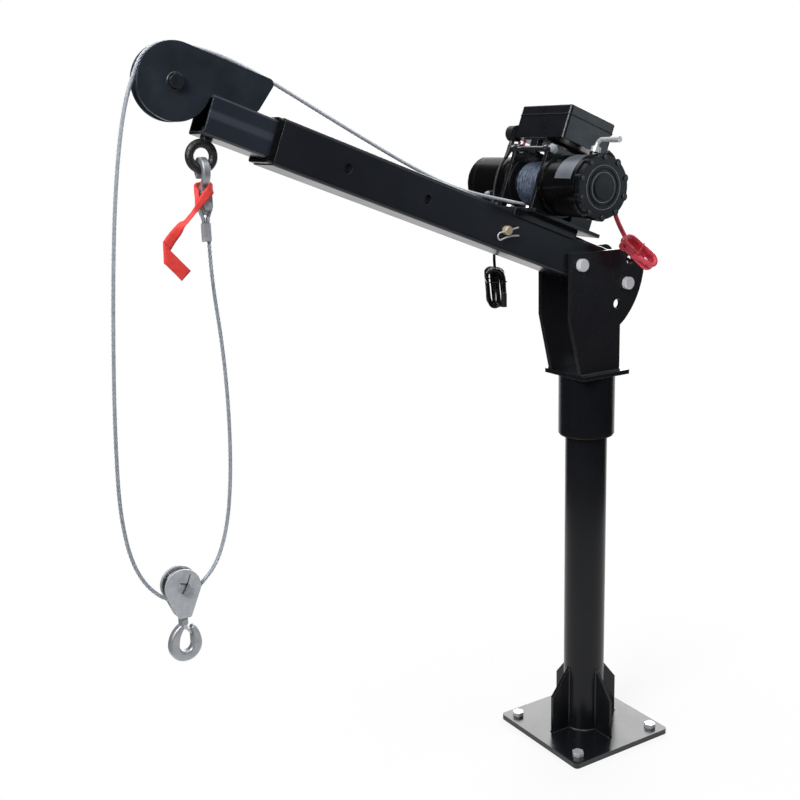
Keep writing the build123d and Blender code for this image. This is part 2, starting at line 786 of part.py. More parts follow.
def make_extension_pin():
    half = BOOM_SIDE / 2
    length = BOOM_SIDE + EXT_PIN_OUT
    pin = cross_pin(EXT_PIN_D, EXT_HEAD_D, EXT_HEAD_H, length, length - EXT_PIN_OUT / 2)
    turned = Rot(180, 0, 0) * Rot(0, 0, EXT_CLIP_TURN) * pin
    return boom_across(turned, PIN_STATIONS[0], half, BOOM_AXIS)


def make_extension_clip():
    clip = Rot(90, 0, 0) * clip_wire(CLIP_WIRE)
    y = -BOOM_SIDE / 2 - EXT_PIN_OUT / 2
    return BOOM * Pos(-PIN_STATIONS[0], y, BOOM_AXIS) * Rot(0, 180 - EXT_CLIP_TURN, 0) * clip


def make_jib_tube():
    tube = square_tube(JIB_SIDE, JIB_WALL, JIB_CORNER, JIB_TAIL, JIB_FRONT, JIB_AXIS)
    half = EXT_PIN_D / 2 + NOTCH_CLEAR
    slot = Pos(PIN_STATIONS[0], BOOM_AXIS) * Circle(half)
    slot += Polygon(
        (JIB_TAIL - 1, BOOM_AXIS - half),
        (PIN_STATIONS[0], BOOM_AXIS - half),
        (PIN_STATIONS[0], BOOM_AXIS + half),
        (JIB_TAIL - 1, BOOM_AXIS + half),
        align=None,
    )
    tube -= boom_side(slot, -BOOM_SIDE, BOOM_SIDE)
    eye_hole = rod(EYE_SHANK_D / 2 + SEAT_CLEAR, JIB_UNDER - 1, JIB_UNDER + JIB_WALL + 1)
    return tube - BOOM * Pos(-(JIB_FRONT - EYE_BACK), 0, 0) * eye_hole


def make_sheave_plates():
    radius = TIP_RIM_R + TIP_PLATE_RIM
    back = TIP_ALONG - TIP_PLATE_BACK
    crown = TIP_PERP + radius
    tail = Polygon(
        (TIP_ALONG, crown),
        (back, crown),
        (back + TIP_PLATE_SLANT, JIB_TOP),
        (TIP_ALONG, JIB_TOP),
        align=None,
    )
    rear = tail.vertices().sort_by(Axis.X)[:2]
    outline = fillet(rear, TIP_PLATE_CORNER) + Pos(TIP_ALONG, TIP_PERP) * Circle(radius)
    below = Polygon(
        (back, JIB_TOP),
        (JIB_FRONT + CURVE_CLEAR, JIB_TOP),
        (JIB_FRONT + CURVE_CLEAR, JIB_UNDER),
        (back, JIB_UNDER),
        align=None,
    )
    outline -= below
    outline -= Pos(TIP_ALONG, TIP_PERP) * Circle(TIP_AXLE_D / 2 + SEAT_CLEAR)
    inside = TIP_PLATE_IN
    outside = TIP_PLATE_IN + TIP_PLATE_T
    return [boom_side(outline, inside, outside), boom_side(outline, -outside, -inside)]


def make_sheave_axle():
    outside = TIP_PLATE_IN + TIP_PLATE_T
    bolt = rod(TIP_AXLE_D / 2, -outside, outside + TIP_HEAD_H + TIP_THREAD_OUT)
    bolt += hexagon(TIP_HEAD_AF, -outside - TIP_HEAD_H, -outside)
    nut = hexagon(TIP_HEAD_AF, outside, outside + TIP_HEAD_H)
    nut -= rod(TIP_AXLE_D / 2 + SEAT_CLEAR, outside - 1, outside + TIP_HEAD_H + 1)
    return [boom_across(piece, TIP_ALONG, 0, TIP_PERP) for piece in (bolt, nut)]


def make_tip_sheave():
    hub = TIP_PLATE_IN - CURVE_CLEAR
    wheel = groove_sheave(TIP_RIM_R, TIP_GROOVE_R, TIP_WIDTH, ROPE_D, TIP_AXLE_D / 2 + RUN_CLEAR, hub)
    return boom_across(wheel, TIP_ALONG, 0, TIP_PERP)


def eye_centre():
    """The middle of the eye bolt's ring, in the boom's coordinates."""
    return JIB_FRONT - EYE_BACK, JIB_UNDER - EYE_COLLAR_H - EYE_RING_R - EYE_BAR_R + EYE_SINK


def make_eye_bolt():
    along, perp = eye_centre()
    ring = boom_across(Torus(EYE_RING_R, EYE_BAR_R), along, 0, perp)
    collar = rod(EYE_COLLAR_R, JIB_UNDER - EYE_COLLAR_H, JIB_UNDER)
    neck = rod(EYE_SHANK_D / 2, perp + EYE_RING_R, JIB_UNDER + JIB_WALL + EYE_NUT_H + EYE_THREAD_OUT)
    nut = hexagon(EYE_NUT_AF, JIB_UNDER + JIB_WALL, JIB_UNDER + JIB_WALL + EYE_NUT_H)
    nut -= rod(EYE_SHANK_D / 2 + SEAT_CLEAR, JIB_UNDER, JIB_TOP)
    stand = BOOM * Pos(-along, 0, 0)
    return [ring + stand * (collar + neck), stand * nut]


def end_hook_centre():
    """The bowl centre of the rope-end hook, hung over the eye's lowest bar."""
    ring = boom_point(eye_centre()[0], 0, eye_centre()[1])
    return ring.X, ring.Z - EYE_RING_R + EYE_BAR_R + EYE_HOOK_CLEAR - END_HOOK_R


def clevis_spot():
    """The world X and Z of the clevis pin under the rope-end hook."""
    x, z = end_hook_centre()
    return x, z - CLEVIS_DROP


def make_rope_hook():
    x, z = end_hook_centre()
    eye_top = CLEVIS_DROP - ROPE_EYE_R - ROPE_D / 2 - CURVE_CLEAR
    top = eye_top - CLEVIS_BRIDGE
    outline = hook_outline(END_HOOK_R, END_HOOK_T, END_HOOK_SHANK, END_HOOK_NECK, END_HOOK_TIP, top)
    hook = soft_plate(outline, END_HOOK_WIDTH, END_HOOK_SOFT)
    outer = CLEVIS_GAP / 2 + CLEVIS_EAR_T
    bridge = Pos(0, 0, top + CLEVIS_BRIDGE / 2) * Box(outer * 2, CLEVIS_EAR_R * 2, CLEVIS_BRIDGE)
    ear_rise = CLEVIS_DROP - top
    ear = Circle(CLEVIS_EAR_R)
    ear += Pos(0, -ear_rise / 2) * Rectangle(CLEVIS_EAR_R * 2, ear_rise)
    ear -= Circle(CLEVIS_PIN_D / 2 + SEAT_CLEAR)
    plane = Plane(origin=(0, 0, CLEVIS_DROP), x_dir=(0, 1, 0), z_dir=(1, 0, 0))
    near = Pos(CLEVIS_GAP / 2, 0, 0) * extrude(plane * ear, CLEVIS_EAR_T)
    far = Pos(-outer, 0, 0) * extrude(plane * ear, CLEVIS_EAR_T)
    upright = hook + bridge + near + far
    return Pos(x, 0, z) * Rot(0, 0, 90) * Rot(180, 0, 0) * upright


def make_clevis_pin():
    x, z = clevis_spot()
    outer = CLEVIS_GAP / 2 + CLEVIS_EAR_T
    pin = rod(CLEVIS_PIN_D / 2, -outer, outer + CLEVIS_PIN_OUT)
    pin += rod(CLEVIS_HEAD_D / 2, -outer - CLEVIS_HEAD_H, -outer)
    return across(pin, x, 0, z)


def make_thimble():
    x, z = clevis_spot()
    outer_r = ROPE_EYE_R - ROPE_D / 2 - SEAT_CLEAR
    inner_r = outer_r - THIMBLE_WALL
    foot = FERRULE_DROP - 2 * ROPE_D
    outer = make_hull((Circle(outer_r) + Pos(0, -foot) * Circle(THIMBLE_POINT_R)).edges())
    inner = make_hull((Circle(inner_r) + Pos(0, 4 * THIMBLE_WALL - foot) * Circle(THIMBLE_POINT_R)).edges())
    return Pos(x, 0, z) * world_side(outer - inner, -THIMBLE_WIDTH / 2, THIMBLE_WIDTH / 2)


def make_rope_eye():
    """The rope's end turned round the thimble, from the ferrule and back."""
    x, z = clevis_spot()
    half = ROPE_D / 2 + SEAT_CLEAR
    knee_drop = FERRULE_DROP - ROPE_D
    knee = math.hypot(half, knee_drop)
    lean = math.degrees(math.asin(ROPE_EYE_R / knee) - math.atan2(half, knee_drop))
    turn = (180 + 2 * lean) / ROPE_EYE_CORNERS
    reach = ROPE_EYE_R / math.cos(math.radians(turn / 2))
    loop = []
    for index in range(ROPE_EYE_CORNERS):
        angle = math.radians(90 + turn * ((ROPE_EYE_CORNERS - 1) / 2 - index))
        loop.append((x + reach * math.cos(angle), 0, z + reach * math.sin(angle)))
    left = [(x - half, 0, z - FERRULE_DROP), (x - half, 0, z - knee_drop)]
    right = [(x + half, 0, z - knee_drop), (x + half, 0, z - FERRULE_DROP)]
    bends = {1: ROPE_D * 2, ROPE_EYE_CORNERS + 2: ROPE_D * 2}
    for index in range(ROPE_EYE_CORNERS):
        bends[index + 2] = ROPE_EYE_R - SEAT_CLEAR
    return route_tube("rope_eye", left + loop + right, ROPE_D, bends)


def make_ferrule():
    x, z = clevis_spot()
    half = ROPE_D / 2 + FERRULE_WALL
    oval = SlotOverall(2 * (ROPE_D + SEAT_CLEAR + FERRULE_WALL), 2 * half)
    return Pos(x, 0, z - FERRULE_DROP - FERRULE_LENGTH) * extrude(oval, FERRULE_LENGTH)


# Hook block


def make_block_plates():
    """Two pear-shaped plates and the yoke that carries the swivelling hook between them."""
    foot_z = BLOCK_Z - BLOCK_FOOT_DROP
    half = BLOCK_FOOT_W / 2
    pear = make_hull(
        (Pos(BLOCK_X, BLOCK_Z) * Circle(BLOCK_PLATE_R)
         + Pos(BLOCK_X, foot_z + half / 2) * RectangleRounded(BLOCK_FOOT_W, half, BLOCK_FOOT_SOFT)).edges()
    )
    pear -= Pos(BLOCK_X, BLOCK_Z) * Circle(BLOCK_AXLE_D / 2 + RUN_CLEAR)
    outside = BLOCK_IN + BLOCK_PLATE_T
    plates = [world_side(pear, BLOCK_IN, outside), world_side(pear, -outside, -BLOCK_IN)]
    yoke = Pos(BLOCK_X, 0, foot_z + YOKE_H / 2) * Box(BLOCK_FOOT_W - 2 * YOKE_INSET, BLOCK_IN * 2, YOKE_H)
    yoke -= Pos(BLOCK_X, 0, 0) * rod(HOOK_SHANK_D / 2 + RUN_CLEAR, foot_z - 1, foot_z + YOKE_H + 1)
    return plates + [yoke]


def make_block_axle():
    outside = BLOCK_IN + BLOCK_PLATE_T + CURVE_CLEAR
    bolt = rod(BLOCK_AXLE_D / 2, -outside - BLOCK_NUT_H, outside)
    bolt += hexagon(BLOCK_NUT_AF, outside, outside + BLOCK_NUT_H)
    nut = hexagon(BLOCK_NUT_AF, -outside - BLOCK_NUT_H, -outside)
    nut -= rod(BLOCK_AXLE_D / 2 + SEAT_CLEAR, -outside - BLOCK_NUT_H - 1, -outside + 1)
    return [across(piece, BLOCK_X, 0, BLOCK_Z) for piece in (bolt, nut)]


def make_block_sheave():
    bore = BLOCK_AXLE_D / 2 + RUN_CLEAR
    wheel = groove_sheave(BLOCK_RIM_R, BLOCK_GROOVE_R, BLOCK_WIDTH, ROPE_D, bore, BLOCK_WIDTH / 2)
    return across(wheel, BLOCK_X, 0, BLOCK_Z)


def make_hook():
    """The load hook: forged bowl and point, shank through the yoke, nut on top."""
    foot_z = BLOCK_Z - BLOCK_FOOT_DROP
    centre_z = BLOCK_Z - HOOK_DROP
    top = foot_z - CURVE_CLEAR - centre_z
    outline = hook_outline(HOOK_R, HOOK_T, HOOK_SHANK, HOOK_NECK, HOOK_TIP, top)
    hook = soft_plate(outline, HOOK_WIDTH, HOOK_SOFT)
    hook -= Pos(0, 0, LATCH_UP) * Rot(90, 0, 0) * Cylinder(LATCH_PIN_D / 2 + RUN_CLEAR, HOOK_WIDTH * 2)
    nut_z = foot_z + YOKE_H + CURVE_CLEAR - centre_z
    hook += rod(HOOK_SHANK_D / 2, top - 1, nut_z + HOOK_NUT_H)
    hook += rod(HOOK_NUT_D / 2, nut_z, nut_z + HOOK_NUT_H)
    return Pos(BLOCK_X, 0, centre_z) * hook


def make_hook_latch():
    """A sprung gate on a cross pin, from the shank down to the hook's point."""
    ear_in = HOOK_WIDTH / 2 + CURVE_CLEAR
    ear_out = ear_in + LATCH_LUG_T
    pin = Rot(90, 0, 0) * Cylinder(LATCH_PIN_D / 2, ear_out * 2)
    tip_x = HOOK_R - CURVE_CLEAR
    drop = LATCH_UP - HOOK_TIP + LATCH_BELOW
    slope = math.degrees(math.atan2(drop, tip_x))
    reach = math.hypot(drop, tip_x) - LATCH_T
    ear_l = reach * LATCH_EAR_SHARE
    ear = Circle(LATCH_LUG_R) + Pos(ear_l / 2, 0) * Rectangle(ear_l, LATCH_LUG_R)
    ears = [world_side(ear, ear_in, ear_out), world_side(ear, -ear_out, -ear_in)]
    start = reach * LATCH_GATE_SHARE
    gate = Pos((start + reach) / 2, 0, 0) * Box(reach - start, ear_out * 2, LATCH_T)
    latch = pin + ears[0] + ears[1] + gate
    return Pos(BLOCK_X, 0, BLOCK_Z - HOOK_DROP + LATCH_UP) * Rot(0, slope, 0) * latch


# Winch


def make_winch_saddle():
    half = BOOM_SIDE / 2 + CURVE_CLEAR
    along = (SADDLE_REAR, SADDLE_FRONT)
    saddle = boom_box(along, (-half - SKIRT_T, half + SKIRT_T), (BOOM_TOP, SADDLE_TOP))
    for side in (-1, 1):
        limits = sorted((side * half, side * (half + SKIRT_T)))
        saddle += boom_box(along, limits, (BOOM_TOP - SADDLE_SKIRT, BOOM_TOP))
    for along_at, y in winch_bolt_spots():
        saddle -= boom_stand(along_at, y) * rod(WINCH_BOLT_D / 2 + BOLT_CLEAR, BOOM_TOP - 1, SADDLE_TOP + 1)
    return saddle


def boom_stand(along, y):
    """A place on the boom whose +Z is square to it."""
    return BOOM * Pos(-along, y, 0)


def winch_bolt_spots():
    """Where the winch's plate is bolted to its saddle."""
    rows = (WINCH_BOLT_REAR, WINCH_BOLT_FRONT)
    return [(along, side * WINCH_BOLT_Y) for along in rows for side in (-1, 1)]


def make_winch_plate():
    half = WINCH_PLATE_W / 2
    plate = boom_box((WINCH_PLATE_REAR, WINCH_PLATE_FRONT), (-half, half), (SADDLE_TOP, WINCH_PLATE_TOP))
    for along, y in winch_bolt_spots():
        hole = rod(WINCH_BOLT_D / 2 + BOLT_CLEAR, SADDLE_TOP - 1, WINCH_PLATE_TOP + 1)
        plate -= boom_stand(along, y) * hole
    return plate


def make_winch_bolts():
    bolt = rod(WINCH_BOLT_D / 2, BOOM_TOP + CURVE_CLEAR, WINCH_PLATE_TOP)
    bolt += hexagon(WINCH_BOLT_AF, WINCH_PLATE_TOP, WINCH_PLATE_TOP + WINCH_BOLT_H)
    return [boom_stand(along, y) * bolt for along, y in winch_bolt_spots()]


def tie_bar_spots():
    """Where the two tie bars run, above the drum."""
    perp = WINCH_PERP + TIE_BAR_RISE
    return [(WINCH_ALONG + TIE_BAR_FRONT, perp), (WINCH_ALONG - TIE_BAR_REAR, perp)]


def make_drum_supports():
    top = WINCH_PERP + SUPPORT_TOP
    shoulder = WINCH_PERP + TIE_BAR_RISE - TIE_BAR_D
    outline = Polygon(
        (WINCH_ALONG - SUPPORT_FOOT_REAR, WINCH_PLATE_TOP),
        (WINCH_ALONG + SUPPORT_FOOT_FRONT, WINCH_PLATE_TOP),
        (WINCH_ALONG + SUPPORT_SHOULDER, shoulder),
        (WINCH_ALONG + SUPPORT_SHOULDER, top),
        (WINCH_ALONG - SUPPORT_SHOULDER, top),
        (WINCH_ALONG - SUPPORT_SHOULDER, shoulder),
        align=None,
    )
    outline = fillet(outline.vertices().sort_by(Axis.Y)[-2:], SUPPORT_CORNER)
    outline -= Pos(WINCH_ALONG, WINCH_PERP) * Circle(DRUM_JOURNAL_R + RUN_CLEAR)
    for along, perp in tie_bar_spots():
        outline -= Pos(along, perp) * Circle(TIE_BAR_D / 2 + SEAT_CLEAR)
    return [boom_side(outline, -SUPPORT_OUT, -SUPPORT_IN), boom_side(outline, SUPPORT_IN, SUPPORT_OUT)]


def make_tie_bars():
    """Bright bars between the supports, each with two collars and a nut at each end."""
    end = SUPPORT_OUT + TIE_NUT_H
    bar = rod(TIE_BAR_D / 2, -end, end)
    for side in (-1, 1):
        limits = sorted((side * SUPPORT_OUT, side * end))
        bar += hexagon(TIE_NUT_AF, *limits)
        limits = sorted((side * SUPPORT_IN, side * (SUPPORT_IN - TIE_COLLAR_L)))
        bar += rod(TIE_COLLAR_R, *limits)
    return [boom_across(bar, along, 0, perp) for along, perp in tie_bar_spots()]


def make_drum():
    half = DRUM_HALF
    drum = rod(DRUM_CORE_R, -half, half)
    for side in (-1, 1):
        drum += rod(DRUM_FLANGE_R, *sorted((side * half, side * (half - DRUM_FLANGE_T))))
        drum += rod(DRUM_JOURNAL_R, *sorted((side * half, side * (SUPPORT_OUT - CURVE_CLEAR))))
    return boom_across(drum, WINCH_ALONG, 0, WINCH_PERP)


def make_rope_winding():
    """The drum's outer layer of rope, running off under the drum towards the tip."""
    stations = []
    for quarter in range(-WIND_TURNS * 4, 1):
        angle = quarter * math.pi / 2 + WIND_OFF
        y = WIND_EXIT_Y + quarter * WIND_PITCH / 4
        out = boom_way(math.cos(angle), math.sin(angle))
        way = boom_way(-math.sin(angle), math.cos(angle)) + Vector(0, WIND_SLOPE, 0)
        spot = boom_point(WINCH_ALONG, y, WINCH_PERP) + out * WIND_R
        stations.append((spot, way.normalized()))
    first, first_way = stations[0]
    last, last_way = stations[-1]
    stations.insert(0, (first - first_way * ROPE_D, first_way))
    stations.append((last + last_way * ROPE_D, last_way))
    return wound_tube("rope_winding", stations, ROPE_D, 2 * WIND_R)


def gear_rod(radius, start, end):
    """A cylinder about the winch's axis between two distances on the gearbox side."""
    return boom_across(rod(radius, -end, -start), WINCH_ALONG, 0, WINCH_PERP)


def make_gearbox_housing():
    """A can with a rim at each end, the clutch's boss and a foot on the winch's plate."""
    start = SUPPORT_OUT
    end = SUPPORT_OUT + GEAR_LENGTH
    housing = gear_rod(GEAR_R, start, end)
    housing += gear_rod(GEAR_RIM_R, start, start + GEAR_RIM_L)
    housing += gear_rod(GEAR_RIM_R, end - GEAR_RIM_L, end)
    boss = rod(CLUTCH_BOSS_R, WINCH_PERP + GEAR_R - CLUTCH_BOSS_SINK, WINCH_PERP + GEAR_R + CLUTCH_BOSS_H)
    boss -= rod(CLUTCH_SPIGOT_R + RUN_CLEAR, WINCH_PERP + GEAR_R, WINCH_PERP + GEAR_R * 2)
    housing += boom_stand(WINCH_ALONG, CLUTCH_Y) * boss
    foot_along = (WINCH_ALONG - GEAR_FOOT_REAR, WINCH_ALONG - GEAR_FOOT_FRONT)
    foot_perp = (WINCH_PLATE_TOP, WINCH_PLATE_TOP + GEAR_FOOT_H)
    return housing + boom_box(foot_along, (-start - GEAR_FOOT_W, -start), foot_perp)


def make_gearbox_cover():
    """The round cover with a lobe at each screw, a raised ring and a plain boss."""
    outline = Circle(COVER_BOLT_R + SCREW_HEAD_D / 2)
    outline += PolarLocations(COVER_BOLT_R, COVER_LOBES) * Circle(COVER_LOBE_R)
    cover = extrude(outline, -COVER_T)
    cover -= rod(COVER_RING_R, -COVER_T - 1, -COVER_T + COVER_STEP)
    cover += rod(COVER_RING_R - COVER_STEP, -COVER_T, -COVER_T + COVER_STEP)
    cover += rod(COVER_BOSS_R, -COVER_T - COVER_STEP, -COVER_T)
    for spot in PolarLocations(COVER_BOLT_R, COVER_LOBES):
        cover -= spot * rod(SCREW_D / 2 + SEAT_CLEAR, -COVER_T - 1, 1)
    return boom_across(cover, WINCH_ALONG, -SUPPORT_OUT - GEAR_LENGTH, WINCH_PERP)


def make_cover_screws():
    screw = rod(SCREW_D / 2, -COVER_T, -CURVE_CLEAR)
    screw += rod(SCREW_HEAD_D / 2, -COVER_T - SCREW_HEAD_H, -COVER_T)
    spots = PolarLocations(COVER_BOLT_R, COVER_LOBES)
    return [
        boom_across(spot * screw, WINCH_ALONG, -SUPPORT_OUT - GEAR_LENGTH, WINCH_PERP)
        for spot in spots
    ]


def make_motor_can():
    can = rod(MOTOR_R, SUPPORT_OUT, SUPPORT_OUT + MOTOR_LENGTH)
    return boom_across(can, WINCH_ALONG, 0, WINCH_PERP)


def make_motor_cap():
    start = SUPPORT_OUT + MOTOR_LENGTH
    cap = rod(MOTOR_R, start, start + MOTOR_CAP_L)
    cap = fillet(cap.edges().sort_by(Axis.Z)[-1], MOTOR_CAP_SOFT)
    return boom_across(cap, WINCH_ALONG, 0, WINCH_PERP)


def make_motor_studs():
    studs = []
    for angle, y in MOTOR_STUDS:
        stud = rod(MOTOR_STUD_D / 2, MOTOR_R - MOTOR_STUD_SINK, MOTOR_R + MOTOR_STUD_H)
        stud -= Rot(90, 0, 0) * Cylinder(MOTOR_R + SEAT_CLEAR, MOTOR_STUD_D * 3)
        studs.append(BOOM * Pos(-WINCH_ALONG, y, WINCH_PERP) * Rot(0, angle - 90, 0) * stud)
    return studs


def make_clutch_lever():
    """A bent rod on a hub, turning on the gearbox's boss."""
    base = WINCH_PERP + GEAR_R + CLUTCH_BOSS_H + CURVE_CLEAR
    hub = rod(CLUTCH_BOSS_R, base, base + CLUTCH_HUB_H)
    hub += rod(CLUTCH_SPIGOT_R, WINCH_PERP + GEAR_R + CURVE_CLEAR, base)
    bend_z = base + CLUTCH_RISE
    path = FilletPolyline((0, 0, base + 1), (0, 0, bend_z), (0, -CLUTCH_REACH, bend_z), radius=CLUTCH_BEND)
    lever = hub + swept(path, CLUTCH_ROD_D)
    grip = Rot(90, 0, 0) * rod(CLUTCH_GRIP_D / 2, CLUTCH_REACH - CLUTCH_GRIP_L, CLUTCH_REACH)
    lever += Pos(0, 0, bend_z) * grip
    return boom_stand(WINCH_ALONG, CLUTCH_Y) * lever


def make_control_box():
    box = flat_box((BOX_REAR, BOX_FRONT), (BOX_NEAR, BOX_FAR), (BOX_FLOOR, BOX_SEAM))
    return BOOM * fillet(box.edges().filter_by(Axis.Z), BOX_CORNER)


def make_control_lid():
    lid = flat_box((BOX_REAR, BOX_FRONT), (BOX_NEAR, BOX_FAR), (BOX_SEAM, BOX_SEAM + BOX_LID_H))
    lid = fillet(lid.edges().filter_by(Axis.Z), BOX_CORNER)
    return BOOM * fillet(lid.faces().sort_by(Axis.Z)[-1].edges(), BOX_LID_SOFT)


def make_box_bracket():
    """A plate under the control box, with a clamp on each tie bar."""
    (front, perp), (rear, _) = tie_bar_spots()
    half = BRACKET_W / 2
    deck = BOX_FLOOR - BRACKET_T
    along = (rear - CLAMP_L / 2, front + CLAMP_L / 2 - CLAMP_TRIM)
    bracket = boom_box(along, (-half, half), (deck, BOX_FLOOR))
    for spot in (front, rear):
        limits = (max(spot - CLAMP_L / 2, along[0]), min(spot + CLAMP_L / 2, along[1]))
        bracket += boom_box(limits, (-CLAMP_W / 2, CLAMP_W / 2), (perp - CLAMP_L / 2, deck))
        bracket -= boom_across(Cylinder(TIE_BAR_D / 2 + SEAT_CLEAR, BRACKET_W * 2), spot, 0, perp)
    return bracket


# Leads and ropes


def make_lead_gland():
    gland = rod(POWER_GLAND_D / 2, 0, POWER_GLAND_L)
    gland = chamfer(gland.edges().sort_by(Axis.Z)[-1], POWER_GLAND_CHAMFER)
    place = Pos(-BOX_REAR, POWER_GLAND_Y, BOX_FLOOR + POWER_GLAND_UP) * Rot(0, 90, 0)
    return BOOM * place * gland


def bundle_ways():
    """The way that the loose bundles face, and the way to their right."""
    yaw = math.radians(BUNDLE_YAW)
    return Vector(-math.sin(yaw), -math.cos(yaw), 0), Vector(math.cos(yaw), -math.sin(yaw), 0)


def power_coil_ways():
    """The long and the short way of the power lead's drooping loops."""
    droop = math.radians(POWER_COIL_DROOP)
    _, right = bundle_ways()
    up = Vector(0, 0, 1)
    return right * math.cos(droop) - up * math.sin(droop), right * math.sin(droop) + up * math.cos(droop)


def power_coil_stations():
    """The power lead's loose loops, from the lead's end to the terminal."""
    long_way, short_way = power_coil_ways()
    front, _ = bundle_ways()
    centre = Vector(POWER_COIL_X, POWER_COIL_Y, POWER_COIL_Z)
    sizes = [(POWER_COIL_RUN, POWER_COIL_R - POWER_COIL_SHRINK * turn) for turn in range(POWER_COIL_TURNS)]
    stations = racetrack(centre, long_way, short_way, front, sizes, POWER_COIL_PITCH)
    first, way = stations[0]
    stations[0] = (first - way * POWER_D, way)
    last, way = stations[-1]
    stations[-1] = (last - way * TERMINAL_BARREL_L, way)
    return stations


def make_power_coil():
    return wound_tube("power_coil", power_coil_stations(), POWER_D, 4 * POWER_COIL_R)


def make_power_lead():
    start = (BOX_REAR - POWER_GLAND_L, POWER_GLAND_Y, BOX_FLOOR + POWER_GLAND_UP)
    bends = [
        (start[0] - 14, start[1], start[2]), (-4, -41.2, 190), (-14, -42.5, 179.5), (-20.5, -44.5, 166),
        (-24.5, -46.5, 150), (-27.5, -48.3, 133), (-31, -50, 116), (-37.3, -51.3, 102.7), (-46.9, -55.2, 91.4),
    ]
    points = [boom_point(*start)] + [boom_point(*bend) for bend in bends]
    end, way = power_coil_stations()[0]
    points.append(end - way * 15)
    points.append(end)
    return route_tube("power_lead", points, POWER_D)


def make_power_terminal():
    """A ring terminal crimped on the power lead's end."""
    end, way = power_coil_stations()[-1]
    place = Plane(origin=end, x_dir=(0, 1, 0), z_dir=way)
    barrel = rod(POWER_D / 2 + TERMINAL_BARREL_WALL, 0, TERMINAL_BARREL_L)
    palm_z = TERMINAL_BARREL_L + TERMINAL_RING_R - TERMINAL_LAP
    palm = Circle(TERMINAL_RING_R) - Circle(TERMINAL_HOLE_R)
    upright = Plane(origin=(-TERMINAL_T / 2, 0, palm_z), x_dir=(0, 1, 0), z_dir=(1, 0, 0))
    flat = extrude(upright * palm, TERMINAL_T)
    return Location(place) * (barrel + flat)


def hank_stations():
    """The remote lead's hank: hanging loops of unlike sizes, and a tail in front of them."""
    centre = Vector(HANK_X, HANK_Y, HANK_Z)
    front, right = bundle_ways()
    down = Vector(0, 0, -1)
    steps = [HANK_SPREAD * (2 * (turn + 1) % HANK_SIZES) for turn in range(HANK_TURNS)]
    sizes = [(HANK_RUN + step, HANK_R - step) for step in steps]
    stations = racetrack(centre, down, right, front, sizes, HANK_PITCH)
    first, way = stations[0]
    stations[0] = (first - way * REMOTE_D, way)
    last, way = stations[-1]
    turn = last + front * HANK_LAST_STEP + right * (2 * sizes[-1][1])
    stations.append((turn, down))
    stations.append((turn + down * HANK_TAIL, down))
    return stations


def make_remote_hank():
    return wound_tube("remote_hank", hank_stations(), REMOTE_D, 4 * HANK_R)


def remote_plug_spot():
    """The middle of the remote lead's plug on the box, in the boom's coordinates."""
    return REMOTE_PLUG_ALONG, BOX_FLOOR + REMOTE_PLUG_UP


def remote_lead_start():
    """Where the remote lead leaves the plug's stub, in the boom's coordinates."""
    along, perp = remote_plug_spot()
    return along, BOX_FAR + REMOTE_PLUG_L / 2, perp - REMOTE_PLUG_D / 2 - REMOTE_STUB_L


def make_remote_plugs():
    """The plug on the control box and the connector on the remote lead's free end."""
    along, perp = remote_plug_spot()
    plug = rod(REMOTE_PLUG_D / 2, BOX_FAR, BOX_FAR + REMOTE_PLUG_L)
    plug = boom_across(chamfer(plug.edges().sort_by(Axis.Z)[-1], REMOTE_PLUG_CHAMFER), along, 0, perp)
    _, y, low = remote_lead_start()
    plug += boom_stand(along, y) * rod(REMOTE_STUB_D / 2, low, perp)
    end, way = hank_stations()[-1]
    shell = rod(CONNECTOR_D / 2, 0, CONNECTOR_L)
    shell = chamfer(shell.edges().sort_by(Axis.Z)[0], CONNECTOR_CHAMFER)
    free_end = Location(Plane(origin=end, x_dir=(0, 1, 0), z_dir=way))
    return [plug, free_end * shell]


def make_remote_lead():
    bends = [
        remote_lead_start(), (131.3, 70, 156), (134.5, 69.3, 145), (140, 67.5, 133), (145, 64.5, 120),
        (148.5, 60, 104), (150, 55.5, 88), (149.5, 51.5, 72), (146, 48.7, 53), (138.5, 47.8, 31),
        (129.7, 49, 8.6), (116.2, 51, -9.8),
    ]
    points = [boom_point(*bend) for bend in bends]
    end, way = hank_stations()[0]
    points.append(end - way * 20)
    points.append(end)
    return route_tube("remote_lead", points, REMOTE_D)


def tie_band(long_half, short_half):
    """A flat tie about Z, closed round a bundle."""
    outer = RectangleRounded(2 * (long_half + TIE_T), 2 * (short_half + TIE_T), TIE_SOFT + TIE_T)
    inner = RectangleRounded(2 * long_half, 2 * short_half, TIE_SOFT)
    return extrude(outer - inner, TIE_W / 2, both=True)


def make_cord_ties():
    """One tie round the power coil's middle and one round the hank's."""
    front, right = bundle_ways()
    long_way, short_way = power_coil_ways()
    depth = (POWER_COIL_TURNS - 0.5) * POWER_COIL_PITCH
    middle = Vector(POWER_COIL_X, POWER_COIL_Y, POWER_COIL_Z) + front * (depth / 2)
    place = Location(Plane(origin=middle, x_dir=short_way, z_dir=long_way))
    coil_tie = tie_band(POWER_COIL_R + POWER_D / 2 + CURVE_CLEAR, depth / 2 + POWER_D / 2 + TIE_SLACK)
    width = (HANK_TURNS - 0.25) * HANK_PITCH + HANK_LAST_STEP
    middle = Vector(HANK_X, HANK_Y, HANK_Z + HANK_TIE_UP) + front * (width / 2)
    hank_place = Location(Plane(origin=middle, x_dir=right, z_dir=(0, 0, 1)))
    hank_tie = tie_band(HANK_R + REMOTE_D / 2 + CURVE_CLEAR, width / 2 + REMOTE_D / 2 + CURVE_CLEAR)
    return [place * coil_tie, hank_place * hank_tie]


